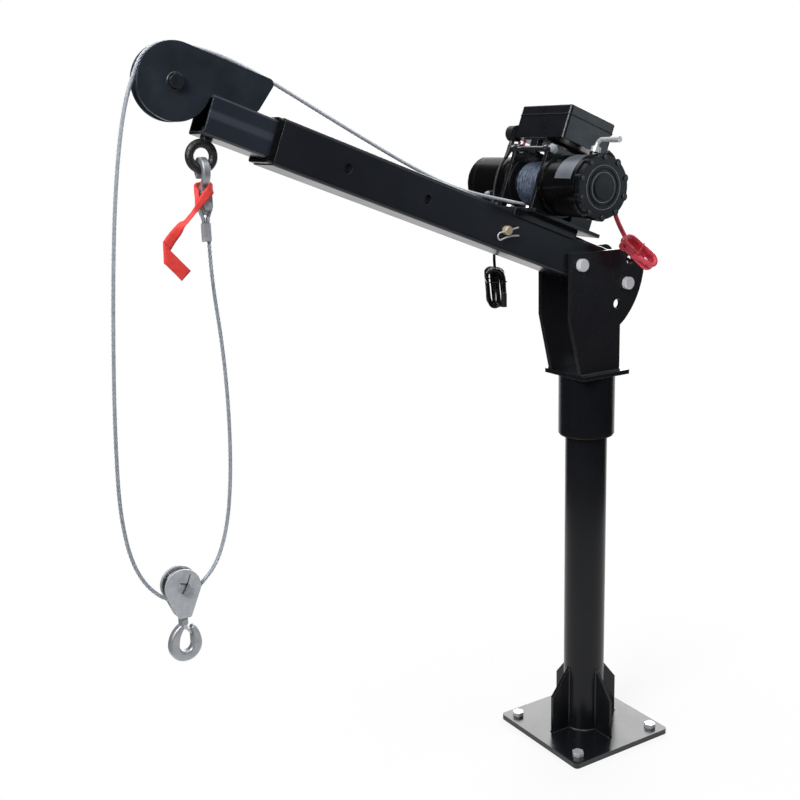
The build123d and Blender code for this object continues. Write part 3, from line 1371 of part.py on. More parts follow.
def make_motor_wires():
    wires = []
    for angle, y in MOTOR_STUDS[:2]:
        turn = math.radians(angle)
        reach = MOTOR_R + MOTOR_STUD_H
        foot = (WINCH_ALONG + reach * math.cos(turn), WINCH_PERP + reach * math.sin(turn))
        rise = WIRE_STUB * math.sin(turn)
        up = (foot[0] + WIRE_STUB * math.cos(turn), foot[1] + rise)
        head = y - WIRE_LEAN
        points = [
            boom_point(foot[0], y, foot[1]),
            boom_point(up[0], y, up[1]),
            boom_point(up[0] + 1, head, BOX_FLOOR - WIRE_STUB),
            boom_point(up[0] + 1, head, BOX_FLOOR),
        ]
        wires.append(route_tube("motor_wires", points, WIRE_D))
    return wires


def make_rope_run():
    """The rope from the drum along the boom's top to the tip sheave, slack at first."""
    angle = WIND_OFF
    leave = (
        WINCH_ALONG + WIND_R * math.cos(angle) - ROPE_D * math.sin(angle),
        WINCH_PERP + WIND_R * math.sin(angle) + ROPE_D * math.cos(angle),
    )
    start = (leave[0], WIND_EXIT_Y + ROPE_D * WIND_SLOPE, leave[1])
    run_off = 6 * ROPE_D
    first = (
        start[0] - run_off * math.sin(angle),
        start[1] + run_off * WIND_SLOPE,
        start[2] + run_off * math.cos(angle),
    )
    bends = [first] + [(along, y, BOOM_TOP + rise) for along, y, rise in RUN_SAG]
    points = [boom_point(*start)] + [boom_point(*bend) for bend in bends]
    points.append(tip_start() - tip_way() * TIP_LAND_RUN)
    points.append(tip_start())
    return route_tube("rope_run", points, ROPE_D)


def tip_way():
    """The rope's way where it lands on the tip sheave."""
    return world_way(math.radians(TIP_LAND_ANGLE + 90))


def tip_start():
    """Where the rope reaches the tip sheave, a little before it lands."""
    landing = world_way(math.radians(TIP_LAND_ANGLE)) * TIP_ROPE_R
    return boom_point(TIP_ALONG, 0, TIP_PERP) + landing - tip_way() * (2 * ROPE_D)


def world_way(angle):
    """The direction at an angle in the crane's XZ plane."""
    return Vector(math.cos(angle), 0, math.sin(angle))


def bowed(start, end, bows, side):
    """Points at shares of the way between two ends, pushed out along X."""
    return [start + (end - start) * share + Vector(side * bow, 0, 0) for share, bow in bows]


def make_rope_fall():
    """The rope over the tip sheave, down round the block's sheave and up to its ferrule."""
    tip = boom_point(TIP_ALONG, 0, TIP_PERP)
    leave = math.radians(TIP_LEAVE_ANGLE)
    top = math.radians(TIP_LAND_ANGLE)
    reach = TIP_ROPE_R / math.cos((leave - top) / 2)
    over = tip + world_way((leave + top) / 2) * reach
    block = Vector(BLOCK_X, 0, BLOCK_Z)
    under_reach = BLOCK_ROPE_R / math.cos(math.radians(BLOCK_ROPE_WRAP / 2))
    under = block + world_way(math.radians(BLOCK_ROPE_ANGLE)) * under_reach
    x, z = clevis_spot()
    end = Vector(x + ROPE_D / 2 + SEAT_CLEAR, 0, z - FERRULE_DROP - FERRULE_LENGTH)
    below_end = end - Vector(0, 0, 2 * FERRULE_LENGTH)
    down = bowed(tip + world_way(leave) * TIP_ROPE_R, block, FALL_DOWN_BOWS, -1)
    up = bowed(block, end, FALL_UP_BOWS, 1)
    points = [tip_start(), over] + down + [under] + up + [below_end, end]
    fixed = {1: TIP_ROPE_R, len(down) + 2: BLOCK_ROPE_R}
    return route_tube("rope_fall", points, ROPE_D, fixed)


def strap_section(dx, dz, out, way_x, way_z, turn):
    """One cross section of the strap, square to its way and turned about it."""
    x, z = clevis_spot()
    along = Vector(way_x, 0, way_z).normalized()
    flat = Vector(-along.Z, 0, along.X)
    width = flat * math.cos(math.radians(turn)) + Vector(0, 1, 0) * math.sin(math.radians(turn))
    plane = Plane(origin=(x + dx, -STRAP_LOOP_RY - out, z + dz), x_dir=width, z_dir=along)
    return plane * Rectangle(STRAP_W, STRAP_T)


def make_pull_strap():
    """A webbing strap: a loop round the rope-end hook, a twisted tail and a folded end."""
    x, z = clevis_spot()
    outer = Ellipse(STRAP_LOOP_RX, STRAP_LOOP_RY)
    inner = Ellipse(STRAP_LOOP_RX - STRAP_T, STRAP_LOOP_RY - STRAP_T)
    loop = Pos(x + STRAP_LOOP_AT[0], 0, z + STRAP_LOOP_AT[1]) * extrude(outer - inner, STRAP_LOOP_H)
    tail = loft([strap_section(*section) for section in STRAP_TAIL], ruled=True)
    end = loft([strap_section(*section) for section in STRAP_END], ruled=True)
    return loop + tail + end


NODES = {
    "base_plate": make_base_plate,
    "base_bolts": make_base_bolts,
    "base_gussets": make_base_gussets,
    "post_tube": make_post_tube,
    "thrust_washer": make_thrust_washer,
    "sleeve_tube": make_sleeve_tube,
    "sleeve_bushes": make_sleeve_bushes,
    "head_flange": make_head_flange,
    "cheeks": make_cheeks,
    "cheek_pins": make_cheek_pins,
    "pin_clips": make_pin_clips,
    "outer_boom": make_outer_boom,
    "pivot_bush": make_pivot_bush,
    "slide_pad": make_slide_pad,
    "extension_pin": make_extension_pin,
    "extension_clip": make_extension_clip,
    "jib_tube": make_jib_tube,
    "sheave_plates": make_sheave_plates,
    "sheave_axle": make_sheave_axle,
    "tip_sheave": make_tip_sheave,
    "eye_bolt": make_eye_bolt,
    "rope_hook": make_rope_hook,
    "clevis_pin": make_clevis_pin,
    "thimble": make_thimble,
    "rope_eye": make_rope_eye,
    "ferrule": make_ferrule,
    "block_plates": make_block_plates,
    "block_axle": make_block_axle,
    "block_sheave": make_block_sheave,
    "hook": make_hook,
    "hook_latch": make_hook_latch,
    "winch_saddle": make_winch_saddle,
    "winch_plate": make_winch_plate,
    "winch_bolts": make_winch_bolts,
    "drum_supports": make_drum_supports,
    "tie_bars": make_tie_bars,
    "drum": make_drum,
    "rope_winding": make_rope_winding,
    "gearbox_housing": make_gearbox_housing,
    "gearbox_cover": make_gearbox_cover,
    "cover_screws": make_cover_screws,
    "motor_can": make_motor_can,
    "motor_cap": make_motor_cap,
    "motor_studs": make_motor_studs,
    "clutch_lever": make_clutch_lever,
    "control_box": make_control_box,
    "control_lid": make_control_lid,
    "box_bracket": make_box_bracket,
    "lead_gland": make_lead_gland,
    "power_lead": make_power_lead,
    "power_coil": make_power_coil,
    "power_terminal": make_power_terminal,
    "remote_plugs": make_remote_plugs,
    "remote_lead": make_remote_lead,
    "remote_hank": make_remote_hank,
    "cord_ties": make_cord_ties,
    "motor_wires": make_motor_wires,
    "rope_run": make_rope_run,
    "rope_fall": make_rope_fall,
    "pull_strap": make_pull_strap,
}

os.makedirs("parts", exist_ok=True)
for node, make in NODES.items():
    made = make()
    if isinstance(made, list):
        made = Compound(children=made)
    made.label = node
    export_step(made, f"parts/{node}.step")
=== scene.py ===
import json
import math

import bpy
from mathutils import Matrix, Vector


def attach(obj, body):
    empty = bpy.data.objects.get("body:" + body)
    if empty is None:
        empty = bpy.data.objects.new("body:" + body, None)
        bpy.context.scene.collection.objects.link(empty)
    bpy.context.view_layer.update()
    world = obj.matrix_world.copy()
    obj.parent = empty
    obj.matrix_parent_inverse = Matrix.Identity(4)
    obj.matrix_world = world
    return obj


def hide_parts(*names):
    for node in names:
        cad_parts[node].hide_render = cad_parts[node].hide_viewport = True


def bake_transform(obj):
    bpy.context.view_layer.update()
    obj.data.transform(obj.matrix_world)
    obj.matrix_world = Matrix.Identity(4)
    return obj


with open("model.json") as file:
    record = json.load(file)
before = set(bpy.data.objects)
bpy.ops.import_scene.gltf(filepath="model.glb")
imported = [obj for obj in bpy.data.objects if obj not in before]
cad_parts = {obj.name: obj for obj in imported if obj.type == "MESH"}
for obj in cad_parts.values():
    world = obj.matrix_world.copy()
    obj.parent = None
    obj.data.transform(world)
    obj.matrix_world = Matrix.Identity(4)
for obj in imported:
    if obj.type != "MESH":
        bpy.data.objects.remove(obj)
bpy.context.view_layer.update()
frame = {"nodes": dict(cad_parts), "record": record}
nodes = frame["nodes"]

# Metres, in the crane's own frame: +Z up, the boom points along -X, the gearbox faces -Y.
# Boom pieces are placed by (along, y, perp), as in the part: along the boom from the pivot
# towards the tip, across it, and square to it in the tilt plane.
TILT = math.radians(21.0)
PIVOT = Vector((-0.054, 0.0, 0.9115))
OUT = Vector((-math.cos(TILT), 0.0, math.sin(TILT)))
ACROSS = Vector((0.0, 1.0, 0.0))
UP = Vector((math.sin(TILT), 0.0, math.cos(TILT)))


def boom(along, y, perp):
    """A point from the boom's own coordinates."""
    return PIVOT + OUT * along + ACROSS * y + UP * perp


# Camera
CAMERA_AT = (-1.34587, -1.54352, 1.15363)
CAMERA_YAW = math.radians(31.52)
CAMERA_PITCH = math.radians(13.561)
CAMERA_ROLL = math.radians(-1.655)
CAMERA_LENS = 51.258
CAMERA_SENSOR = 36.0


def make_camera():
    data = bpy.data.cameras.new("camera")
    data.lens = CAMERA_LENS
    data.sensor_width = CAMERA_SENSOR
    camera = bpy.data.objects.new("camera", data)
    bpy.context.scene.collection.objects.link(camera)
    level = math.cos(CAMERA_PITCH)
    ahead = Vector((math.sin(CAMERA_YAW) * level, math.cos(CAMERA_YAW) * level, -math.sin(CAMERA_PITCH)))
    right = Vector((math.cos(CAMERA_YAW), -math.sin(CAMERA_YAW), 0.0))
    above = right.cross(ahead)
    turned_right = right * math.cos(CAMERA_ROLL) + above * math.sin(CAMERA_ROLL)
    turned_up = above * math.cos(CAMERA_ROLL) - right * math.sin(CAMERA_ROLL)
    turn = Matrix((turned_right, turned_up, -ahead)).transposed()
    camera.matrix_world = Matrix.Translation(CAMERA_AT) @ turn.to_4x4()
    bpy.context.scene.camera = camera


make_camera()


# Cords: each is one smooth spline through the route's points

ROPE_D = 0.006
ROPE_LAY = 0.042
ROPE_STRANDS = 6
ROPE_STRAND_SIDES = 6
ROPE_STEPS = 14
WIND_STEPS = 5
EYE_STEPS = 8
POWER_D = 0.008
REMOTE_D = 0.005
WIRE_D = 0.005
TURN_POINTS = 12
HALF_TURN = 6
TURN_WIDEN = 1 / 0.9662


def spline_points(points, resolution):
    """The points along one open smooth spline with these control points."""
    data = bpy.data.curves.new("route", "CURVE")
    data.dimensions = "3D"
    data.resolution_u = resolution
    spline = data.splines.new("NURBS")
    spline.points.add(len(points) - 1)
    for spot, point in zip(spline.points, points):
        spot.co = (*point, 1.0)
    spline.order_u = 3
    spline.use_endpoint_u = True
    obj = bpy.data.objects.new("route", data)
    bpy.context.scene.collection.objects.link(obj)
    mesh = bpy.data.meshes.new_from_object(obj)
    line = [vertex.co.copy() for vertex in mesh.vertices]
    bpy.data.meshes.remove(mesh)
    bpy.data.objects.remove(obj)
    return line


def line_length(line):
    return sum((b - a).length for a, b in zip(line, line[1:]))


def carried_frames(line):
    """A tangent, normal and binormal at each point, turning no more than the line does."""
    frames = []
    normal = None
    for index, point in enumerate(line):
        before = line[max(index - 1, 0)]
        after = line[min(index + 1, len(line) - 1)]
        tangent = (after - before).normalized()
        if normal is None:
            normal = tangent.orthogonal()
        normal = (normal - tangent * normal.dot(tangent)).normalized()
        frames.append((point, tangent, normal, tangent.cross(normal)))
    return frames


def mesh_object(name, vertices, faces, smooth=True):
    mesh = bpy.data.meshes.new(name)
    mesh.from_pydata(vertices, [], faces)
    mesh.validate()
    if smooth:
        mesh.polygons.foreach_set("use_smooth", [True] * len(mesh.polygons))
    obj = bpy.data.objects.new(name, mesh)
    bpy.context.scene.collection.objects.link(obj)
    return obj


def tube_rings(rings, vertices, faces):
    """Skin a list of equal rings of points, closed at both ends."""
    sides = len(rings[0])
    base = len(vertices)
    for ring in rings:
        vertices.extend(ring)
    for row in range(len(rings) - 1):
        for side in range(sides):
            a = base + row * sides + side
            b = base + row * sides + (side + 1) % sides
            faces.append((a, b, b + sides, a + sides))
    faces.append(tuple(base + side for side in reversed(range(sides))))
    last = base + (len(rings) - 1) * sides
    faces.append(tuple(last + side for side in range(sides)))


def wire_rope(name, line):
    """A rope of helical strands round a core, along a line of points."""
    frames = carried_frames(line)
    strand_at = ROPE_D / 3
    strand_r = ROPE_D / 6
    vertices = []
    faces = []
    travelled = [0.0]
    for a, b in zip(line, line[1:]):
        travelled.append(travelled[-1] + (b - a).length)
    for strand in range(ROPE_STRANDS + 1):
        rings = []
        for (point, _, normal, binormal), distance in zip(frames, travelled):
            turn = 2 * math.pi * (distance / ROPE_LAY + strand / ROPE_STRANDS)
            reach = 0.0 if strand == ROPE_STRANDS else strand_at
            centre = point + (normal * math.cos(turn) + binormal * math.sin(turn)) * reach
            ring = []
            for side in range(ROPE_STRAND_SIDES):
                angle = turn + 2 * math.pi * side / ROPE_STRAND_SIDES
                ring.append(centre + (normal * math.cos(angle) + binormal * math.sin(angle)) * strand_r)
            rings.append(ring)
        tube_rings(rings, vertices, faces)
    return mesh_object(name, vertices, faces)


# The loose bundles face the gearbox side, turned round from -Y
BUNDLE_YAW = math.radians(31.5)
FRONT = Vector((-math.sin(BUNDLE_YAW), -math.cos(BUNDLE_YAW), 0.0))
RIGHT = Vector((math.cos(BUNDLE_YAW), -math.sin(BUNDLE_YAW), 0.0))
DOWN = Vector((0.0, 0.0, -1.0))


def loop_point(centre, long_way, short_way, along, across, shift, lean):
    """A point of a loop that lies to one side of its centre and leans."""
    return centre + long_way * along + short_way * (across + shift + lean * along)


def half_turn(centre, long_way, short_way, step_way, first, last, rise, side=1):
    """Control points of a round end between two straight sides, from one size of loop to another."""
    points = []
    for index in range(HALF_TURN + 1):
        share = index / HALF_TURN
        run, radius, shift, lean = (a + (b - a) * share for a, b in zip(first, last))
        wide = radius * TURN_WIDEN
        angle = math.pi * (0.5 - share)
        step = rise[0] + (rise[1] - rise[0]) * share
        along = side * (run + wide * math.cos(angle))
        across = side * wide * math.sin(angle)
        points.append(loop_point(centre, long_way, short_way, along, across, shift, lean) + step_way * step)
    return points


def oval_turns(centre, long_way, short_way, step_way, sizes, pitch):
    """Control points of loops with two straight sides and two round ends, climbing along step_way."""
    points = []
    for turn, size in enumerate(sizes):
        run, radius, shift, lean = size
        low = pitch * turn
        if turn == 0:
            points.append(loop_point(centre, long_way, short_way, -run, radius, shift, lean))
        spot = loop_point(centre, long_way, short_way, 0, radius, shift, lean)
        points.append(spot + step_way * (low + pitch / 8))
        points += half_turn(centre, long_way, short_way, step_way, size, size, (low + pitch / 4, low + pitch / 2))
        spot = loop_point(centre, long_way, short_way, 0, -radius, shift, lean)
        points.append(spot + step_way * (low + pitch * 5 / 8))
        if turn + 1 < len(sizes):
            rise = (low + pitch * 3 / 4, low + pitch)
            points += half_turn(centre, long_way, short_way, step_way, size, sizes[turn + 1], rise, -1)
    return points


# Each loop: half its straight side, its round end's radius, its shift to one side, and its lean
POWER_COIL_AT = Vector((0.0485, -0.0728, 0.929))
POWER_COIL_DROOP = math.radians(43.0)
POWER_COIL_SIZES = (
    (0.0222, 0.012, 0.0012, 0.0), (0.024, 0.0104, 0.002, 0.03), (0.0216, 0.0108, -0.0015, -0.03),
)
POWER_COIL_TURN = math.radians(-36.0)
POWER_COIL_PITCH = 0.0088
POWER_LEAD_IN = 0.01
POWER_ROUTE = (
    (0.023, -0.04, 0.195), (0.009, -0.04, 0.195), (-0.004, -0.0412, 0.19), (-0.014, -0.0425, 0.1795),
    (-0.0205, -0.0445, 0.166), (-0.0245, -0.0465, 0.15), (-0.0275, -0.0483, 0.133), (-0.0305, -0.0505, 0.116),
    (-0.0335, -0.0525, 0.1),
)

# The coil's long way, its short way before and after it is turned about its long way, and its climb
COIL_LONG = RIGHT * math.cos(POWER_COIL_DROOP) + DOWN * math.sin(POWER_COIL_DROOP)
COIL_FLAT = RIGHT * math.sin(POWER_COIL_DROOP) - DOWN * math.cos(POWER_COIL_DROOP)
COIL_SHORT = COIL_FLAT * math.cos(POWER_COIL_TURN) + FRONT * math.sin(POWER_COIL_TURN)
COIL_STEP = FRONT * math.cos(POWER_COIL_TURN) - COIL_FLAT * math.sin(POWER_COIL_TURN)
COIL_DEPTH = POWER_COIL_PITCH * (len(POWER_COIL_SIZES) - 0.5)
COIL_MIDDLE = POWER_COIL_AT + FRONT * (COIL_DEPTH / 2)

# Where the lead enters its terminal, and the shares of the way there from the last turn
COIL_END_SIDE = 0.0117
COIL_END_FRONT = 0.0231
COIL_END_BACK = 0.0108
COIL_END = POWER_COIL_AT - COIL_FLAT * COIL_END_SIDE + FRONT * COIL_END_FRONT - COIL_LONG * COIL_END_BACK
COIL_OUT = (0.2, 0.4, 0.6, 0.8, 0.92, 1.0)


def power_points():
    """The power lead from its gland down to its loose coil, and round to the terminal."""
    centre = COIL_MIDDLE - COIL_STEP * (COIL_DEPTH / 2)
    turns = oval_turns(centre, COIL_LONG, COIL_SHORT, COIL_STEP, POWER_COIL_SIZES, POWER_COIL_PITCH)
    lead_in = turns[0] - (turns[1] - turns[0]).normalized() * POWER_LEAD_IN
    last = turns[-2]
    span = (last - COIL_END).dot(COIL_LONG)
    aside = COIL_END - last + COIL_LONG * span
    end = [last - COIL_LONG * (span * share) + aside * (share * share * (3 - 2 * share)) for share in COIL_OUT]
    return [boom(*point) for point in POWER_ROUTE] + [lead_in] + turns[:-1] + end


HANK_AT = Vector((-0.1604, 0.0613, 0.876))
HANK_SIZES = (
    (0.0244, 0.0086, -0.0054, 0.08), (0.0215, 0.0096, -0.004, 0.02), (0.02, 0.0114, -0.0005, 0.1),
    (0.0245, 0.0084, 0.0058, 0.03), (0.0218, 0.0094, 0.0034, 0.09), (0.017, 0.0148, 0.0, 0.05),
    (0.024, 0.0086, -0.0054, 0.08),
)
HANK_OUT = (0.0209, 0.0119, 0.0, 0.0)
HANK_PITCH = 0.0058
HANK_HIGH = HANK_PITCH * (len(HANK_SIZES) - 0.25)
HANK_LAST_STEP = 0.007
HANK_DEPTH = HANK_HIGH + HANK_LAST_STEP
HANK_TAIL = 0.026
HANK_LEAD_IN = 0.025
REMOTE_ROUTE = (
    (0.131, 0.07, 0.166), (0.1313, 0.07, 0.156), (0.1345, 0.0693, 0.145), (0.14, 0.0675, 0.133),
    (0.145, 0.0645, 0.12), (0.1485, 0.06, 0.104), (0.15, 0.0555, 0.088), (0.1495, 0.0515, 0.072),
    (0.146, 0.0487, 0.053), (0.1385, 0.0478, 0.031), (0.1297, 0.049, 0.0086), (0.1162, 0.051, -0.0098),
)


def remote_points():
    """The remote lead from its plug down beside the boom, into its hank and out to the connector."""
    turns = oval_turns(HANK_AT, DOWN, RIGHT, FRONT, HANK_SIZES, HANK_PITCH)
    lead_in = turns[0] - (turns[1] - turns[0]).normalized() * HANK_LEAD_IN
    over = half_turn(HANK_AT, DOWN, RIGHT, FRONT, HANK_SIZES[-1], HANK_OUT, (HANK_HIGH, HANK_DEPTH), -1)
    tail = [over[-1] + DOWN * (HANK_TAIL / 2), over[-1] + DOWN * (HANK_TAIL + REMOTE_D / 2)]
    return [boom(*point) for point in REMOTE_ROUTE] + [lead_in] + turns + over + tail


WINCH_AT = boom(0.092, 0.0, 0.111)
WIND_R = 0.036
WIND_PITCH = 0.0065
WIND_TURNS = 9
WIND_EXIT_Y = 0.029
WIND_OFF = math.radians(-99.0)
WIND_AWAY = OUT * -math.sin(WIND_OFF) + UP * math.cos(WIND_OFF)


def drum_spot(angle, radius, y):
    """A point round the winch's own axis."""
    return WINCH_AT + (OUT * math.cos(angle) + UP * math.sin(angle)) * radius + ACROSS * y


def winding_points():
    """The drum's outer layer of rope."""
    points = []
    for step in range(-WIND_TURNS * TURN_POINTS, 1):
        turn = step / TURN_POINTS
        angle = WIND_OFF + 2 * math.pi * turn
        points.append(drum_spot(angle, WIND_R * TURN_WIDEN, WIND_EXIT_Y + WIND_PITCH * turn))
    points[-1] = drum_spot(WIND_OFF, WIND_R, WIND_EXIT_Y)
    points.append(points[-1] + WIND_AWAY * ROPE_D)
    return points


TIP_AT = boom(0.763, 0.0, 0.038)
TIP_ROPE_R = 0.0523
TIP_LAND = math.radians(79.0)
TIP_LAND_RUN = 0.03
TIP_ARC_STEPS = 4
RUN_STRAIGHT = 6
RUN_ROUTE = (
    (0.165, 0.029, 0.0635), (0.205, 0.027, 0.058), (0.245, 0.025, 0.0545), (0.29, 0.022, 0.0545),
    (0.34, 0.018, 0.0575), (0.395, 0.0145, 0.063), (0.46, 0.01, 0.0705), (0.53, 0.006, 0.0795),
    (0.6, 0.0017, 0.0888), (0.645, 0.0003, 0.0945), (0.69, 0.0, 0.0977),
)


def world_way(angle):
    """The direction at an angle in the crane's XZ plane."""
    return Vector((math.cos(angle), 0.0, math.sin(angle)))


TIP_WAY = world_way(TIP_LAND + math.pi / 2)
TIP_START = TIP_AT + world_way(TIP_LAND) * TIP_ROPE_R - TIP_WAY * (2 * ROPE_D)


def run_points():
    """The rope from the drum along the boom's top to the tip sheave."""
    start = winding_points()[-1]
    route = [start, start + WIND_AWAY * RUN_STRAIGHT * ROPE_D] + [boom(*point) for point in RUN_ROUTE]
    return route + [TIP_START - TIP_WAY * TIP_LAND_RUN, TIP_START]


# The hanging rope: the share of the way between its two ends, and how far it bows out there
BLOCK_AT = Vector((-0.796, 0.0, 0.49))
BLOCK_ROPE_R = 0.0253
BLOCK_ROPE_MIDDLE = math.radians(276.0)
BLOCK_ROPE_WRAP = math.radians(70.0)
BLOCK_ARC_STEPS = 3
FALL_LEAVE = math.radians(156.5)
FALL_DOWN_BOWS = (
    (0.06, 0.0201), (0.145, 0.0352), (0.255, 0.0485), (0.37, 0.0585), (0.49, 0.067), (0.605, 0.074),
    (0.715, 0.0788), (0.81, 0.0808), (0.885, 0.0765), (0.938, 0.068), (0.98, 0.054), (1.012, 0.0345),
)
FALL_UP_BOWS = (
    (0.001, 0.0389), (0.03, 0.052), (0.079, 0.0622), (0.167, 0.0691), (0.295, 0.0675), (0.436, 0.0595),
    (0.58, 0.0475), (0.723, 0.032),
)
CLEVIS_AT = Vector((-0.71639, 0.0, 1.05015))
FERRULE_END = CLEVIS_AT + Vector((0.00305, 0.0, -0.051))
FERRULE_L = 0.026


def arc(centre, radius, first, last, count):
    """Control points round a sheave, wide enough for the spline to lie on the radius."""
    wide = radius / math.cos((last - first) / (2 * count))
    return [centre + world_way(first + (last - first) * index / count) * wide for index in range(count + 1)]


def bowed(start, end, bows, side):
    """Points between two ends that bow out to one side."""
    return [start + (end - start) * share + Vector((side * bow, 0.0, 0.0)) for share, bow in bows]


def fall_points():
    """The rope over the tip sheave, down round the block's sheave and up to its ferrule."""
    leave = TIP_AT + world_way(FALL_LEAVE) * TIP_ROPE_R
    over = arc(TIP_AT, TIP_ROPE_R, TIP_LAND, FALL_LEAVE, TIP_ARC_STEPS)
    down = bowed(leave, BLOCK_AT, FALL_DOWN_BOWS, -1)
    first = BLOCK_ROPE_MIDDLE - BLOCK_ROPE_WRAP / 2
    under = arc(BLOCK_AT, BLOCK_ROPE_R, first, first + BLOCK_ROPE_WRAP, BLOCK_ARC_STEPS)
    up = bowed(BLOCK_AT, FERRULE_END, FALL_UP_BOWS, 1)
    return [TIP_START] + over + down + under + up + [FERRULE_END + DOWN * (2 * FERRULE_L), FERRULE_END]


CABLE_SIDES = 12
THIN_SIDES = 8
CABLE_STEPS = 6


def ring_about(point, normal, binormal, radius, sides):
    """A ring of points round one point of a line."""
    turns = [2 * math.pi * side / sides for side in range(sides)]
    return [point + (normal * math.cos(turn) + binormal * math.sin(turn)) * radius for turn in turns]


def tube_along(name, line, radii, sides=CABLE_SIDES):
    """A round tube along a line of points, with a radius for each point."""
    vertices = []
    faces = []
    rings = []
    for (point, _, normal, binormal), radius in zip(carried_frames(line), radii):
        rings.append(ring_about(point, normal, binormal, radius, sides))
    tube_rings(rings, vertices, faces)
    return mesh_object(name, vertices, faces)


def link_cable(name, points, diameter, replaced, slot_name, **facts):
    """A sheathed cable on one spline."""
    line = spline_points(points, CABLE_STEPS)
    cable = tube_along(name, line, [diameter / 2] * len(line))
    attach(cable, "boom")
    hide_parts(*replaced)
    return cable, line


power_cable, power_line = link_cable(
    "power_cable", power_points(), POWER_D, ("power_lead", "power_coil"), "red_cable",
    far_end="fitting", lay="coiled", with_pieces=[nodes["power_terminal"]],
)
remote_cable, remote_line = link_cable(
    "remote_cable", remote_points(), REMOTE_D, ("remote_lead", "remote_hank"), "black_cable",
    far_end="connector", lay="coiled", stiffness="limp", with_pieces=[nodes["remote_plugs"]],
)


def link_rope(name, points, replaced, resolution):
    """A stranded wire rope on one spline."""
    line = spline_points(points, resolution)
    rope = wire_rope(name, line)
    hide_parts(replaced)
    return rope


rope_layer = link_rope("rope_layer", winding_points()[::-1], "rope_winding", WIND_STEPS)
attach(rope_layer, "drum_body")
rope_along = link_rope("rope_along", run_points(), "rope_run", ROPE_STEPS)
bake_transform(rope_along)
rope_loop = link_rope("rope_loop", fall_points(), "rope_fall", ROPE_STEPS)
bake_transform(rope_loop)

# Rope eye, motor wires and the pull strap

EYE_ROUTE = (
    (-0.00305, -0.025), (-0.00305, -0.019), (-0.0066, -0.0105), (-0.0104, -0.0015), (-0.0092, 0.0065),
    (-0.0038, 0.0108), (0.0038, 0.0108), (0.0092, 0.0065), (0.0104, -0.0015), (0.0066, -0.0105),
    (0.00305, -0.019), (0.00305, -0.025),
)
eye_points = [CLEVIS_AT + Vector((x, 0.0, z)) for x, z in EYE_ROUTE]
rope_end = link_rope("rope_end", eye_points, "rope_eye", EYE_STEPS)
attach(rope_end, "jib")

MOTOR_STUDS = ((68.0, 0.062), (68.0, 0.076))
MOTOR_STUD_TOP = 0.055
WIRE_TOP = 0.179
WIRE_STUB = 0.007
WIRE_LEAN = 0.008
WIRE_OUT = 0.001


def motor_wire(name, degrees, y):
    """A short wire from a motor stud up into the control box."""
    angle = math.radians(degrees)
    way = OUT * math.cos(angle) + UP * math.sin(angle)
    foot = WINCH_AT + way * MOTOR_STUD_TOP + ACROSS * y
    bend = foot + way * WIRE_STUB
    rise = WIRE_TOP - (bend - PIVOT).dot(UP)
    head = bend + OUT * WIRE_OUT - ACROSS * WIRE_LEAN + UP * rise
    line = spline_points([foot, bend, head - UP * WIRE_STUB, head], CABLE_STEPS)
    wire = tube_along(name, line, [WIRE_D / 2] * len(line))
    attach(wire, "boom")
    return wire


motor_wires = [motor_wire(f"motor_wire_{index}", *spot) for index, spot in enumerate(MOTOR_STUDS)]
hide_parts("motor_wires")

STRAP_T = 0.0016
STRAP_STEPS = 5
# Half of the strap's section: shares of its half width and of its half thickness
STRAP_SECTION = ((1.0, 0.4), (0.94, 1.0), (0.4, 1.0), (-0.4, 1.0), (-0.94, 1.0), (-1.0, 0.4))
# From the clevis pin: the middle of the strap, and the way to one of its edges
STRAP_STATIONS = (
    ((-0.0148, -0.013, 0.0014), (-0.0049, 0.0, -0.0004)), ((-0.0149, -0.011, 0.0128), (-0.0029, 0.002, 0.0004)),
    ((-0.0134, -0.0065, 0.023), (-0.0022, 0.0035, 0.0011)),
    ((-0.0078, 0.0045, 0.0259), (-0.0026, 0.0015, 0.0049)), ((0.0035, 0.014, 0.0265), (-0.0016, 0.0, 0.0063)),
    ((0.0117, 0.011, 0.0267), (-0.0003, 0.0, 0.0071)), ((0.0132, -0.001, 0.023), (0.0001, 0.0, 0.0062)),
    ((0.0048, -0.0125, 0.0213), (-0.0046, -0.0005, 0.005)), ((-0.0078, -0.016, 0.0099), (-0.0063, 0.0, 0.002)),
    ((-0.0181, -0.017, -0.0016), (-0.0048, 0.0, 0.001)), ((-0.028, -0.017, -0.0115), (-0.0024, 0.003, 0.0007)),
    ((-0.0356, -0.017, -0.019), (-0.001, 0.006, 0.0006)),
    ((-0.0428, -0.0175, -0.0232), (-0.0032, 0.0035, 0.0026)),
    ((-0.0516, -0.0175, -0.0331), (-0.0069, 0.0005, 0.0032)),
    ((-0.0604, -0.017, -0.043), (-0.0053, 0.0, 0.0057)), ((-0.0703, -0.0175, -0.0558), (-0.0008, 0.0, 0.0125)),
    ((-0.0727, -0.0187, -0.0597), (0.0005, 0.0, 0.0152)), ((-0.0713, -0.0202, -0.0622), (0.0002, 0.0, 0.015)),
    ((-0.0648, -0.0206, -0.0703), (0.0006, 0.0, 0.0138)), ((-0.0538, -0.0206, -0.0825), (0.0038, 0.0, 0.0102)),
    ((-0.043, -0.0204, -0.0947), (0.0073, 0.0, 0.0066)),
)


def smooth_between(values, steps):
    """Points on a smooth curve through given ones."""
    made = []
    for index in range(len(values) - 1):
        a = values[max(index - 1, 0)]
        b = values[index]
        c = values[index + 1]
        d = values[min(index + 2, len(values) - 1)]
        for step in range(steps):
            t = step / steps
            made.append(b + (c - a) * (t / 2) + (a * 2 - b * 5 + c * 4 - d) * (t * t / 2)
                        + (b * 3 - a - c * 3 + d) * (t * t * t / 2))
    made.append(values[-1])
    return made


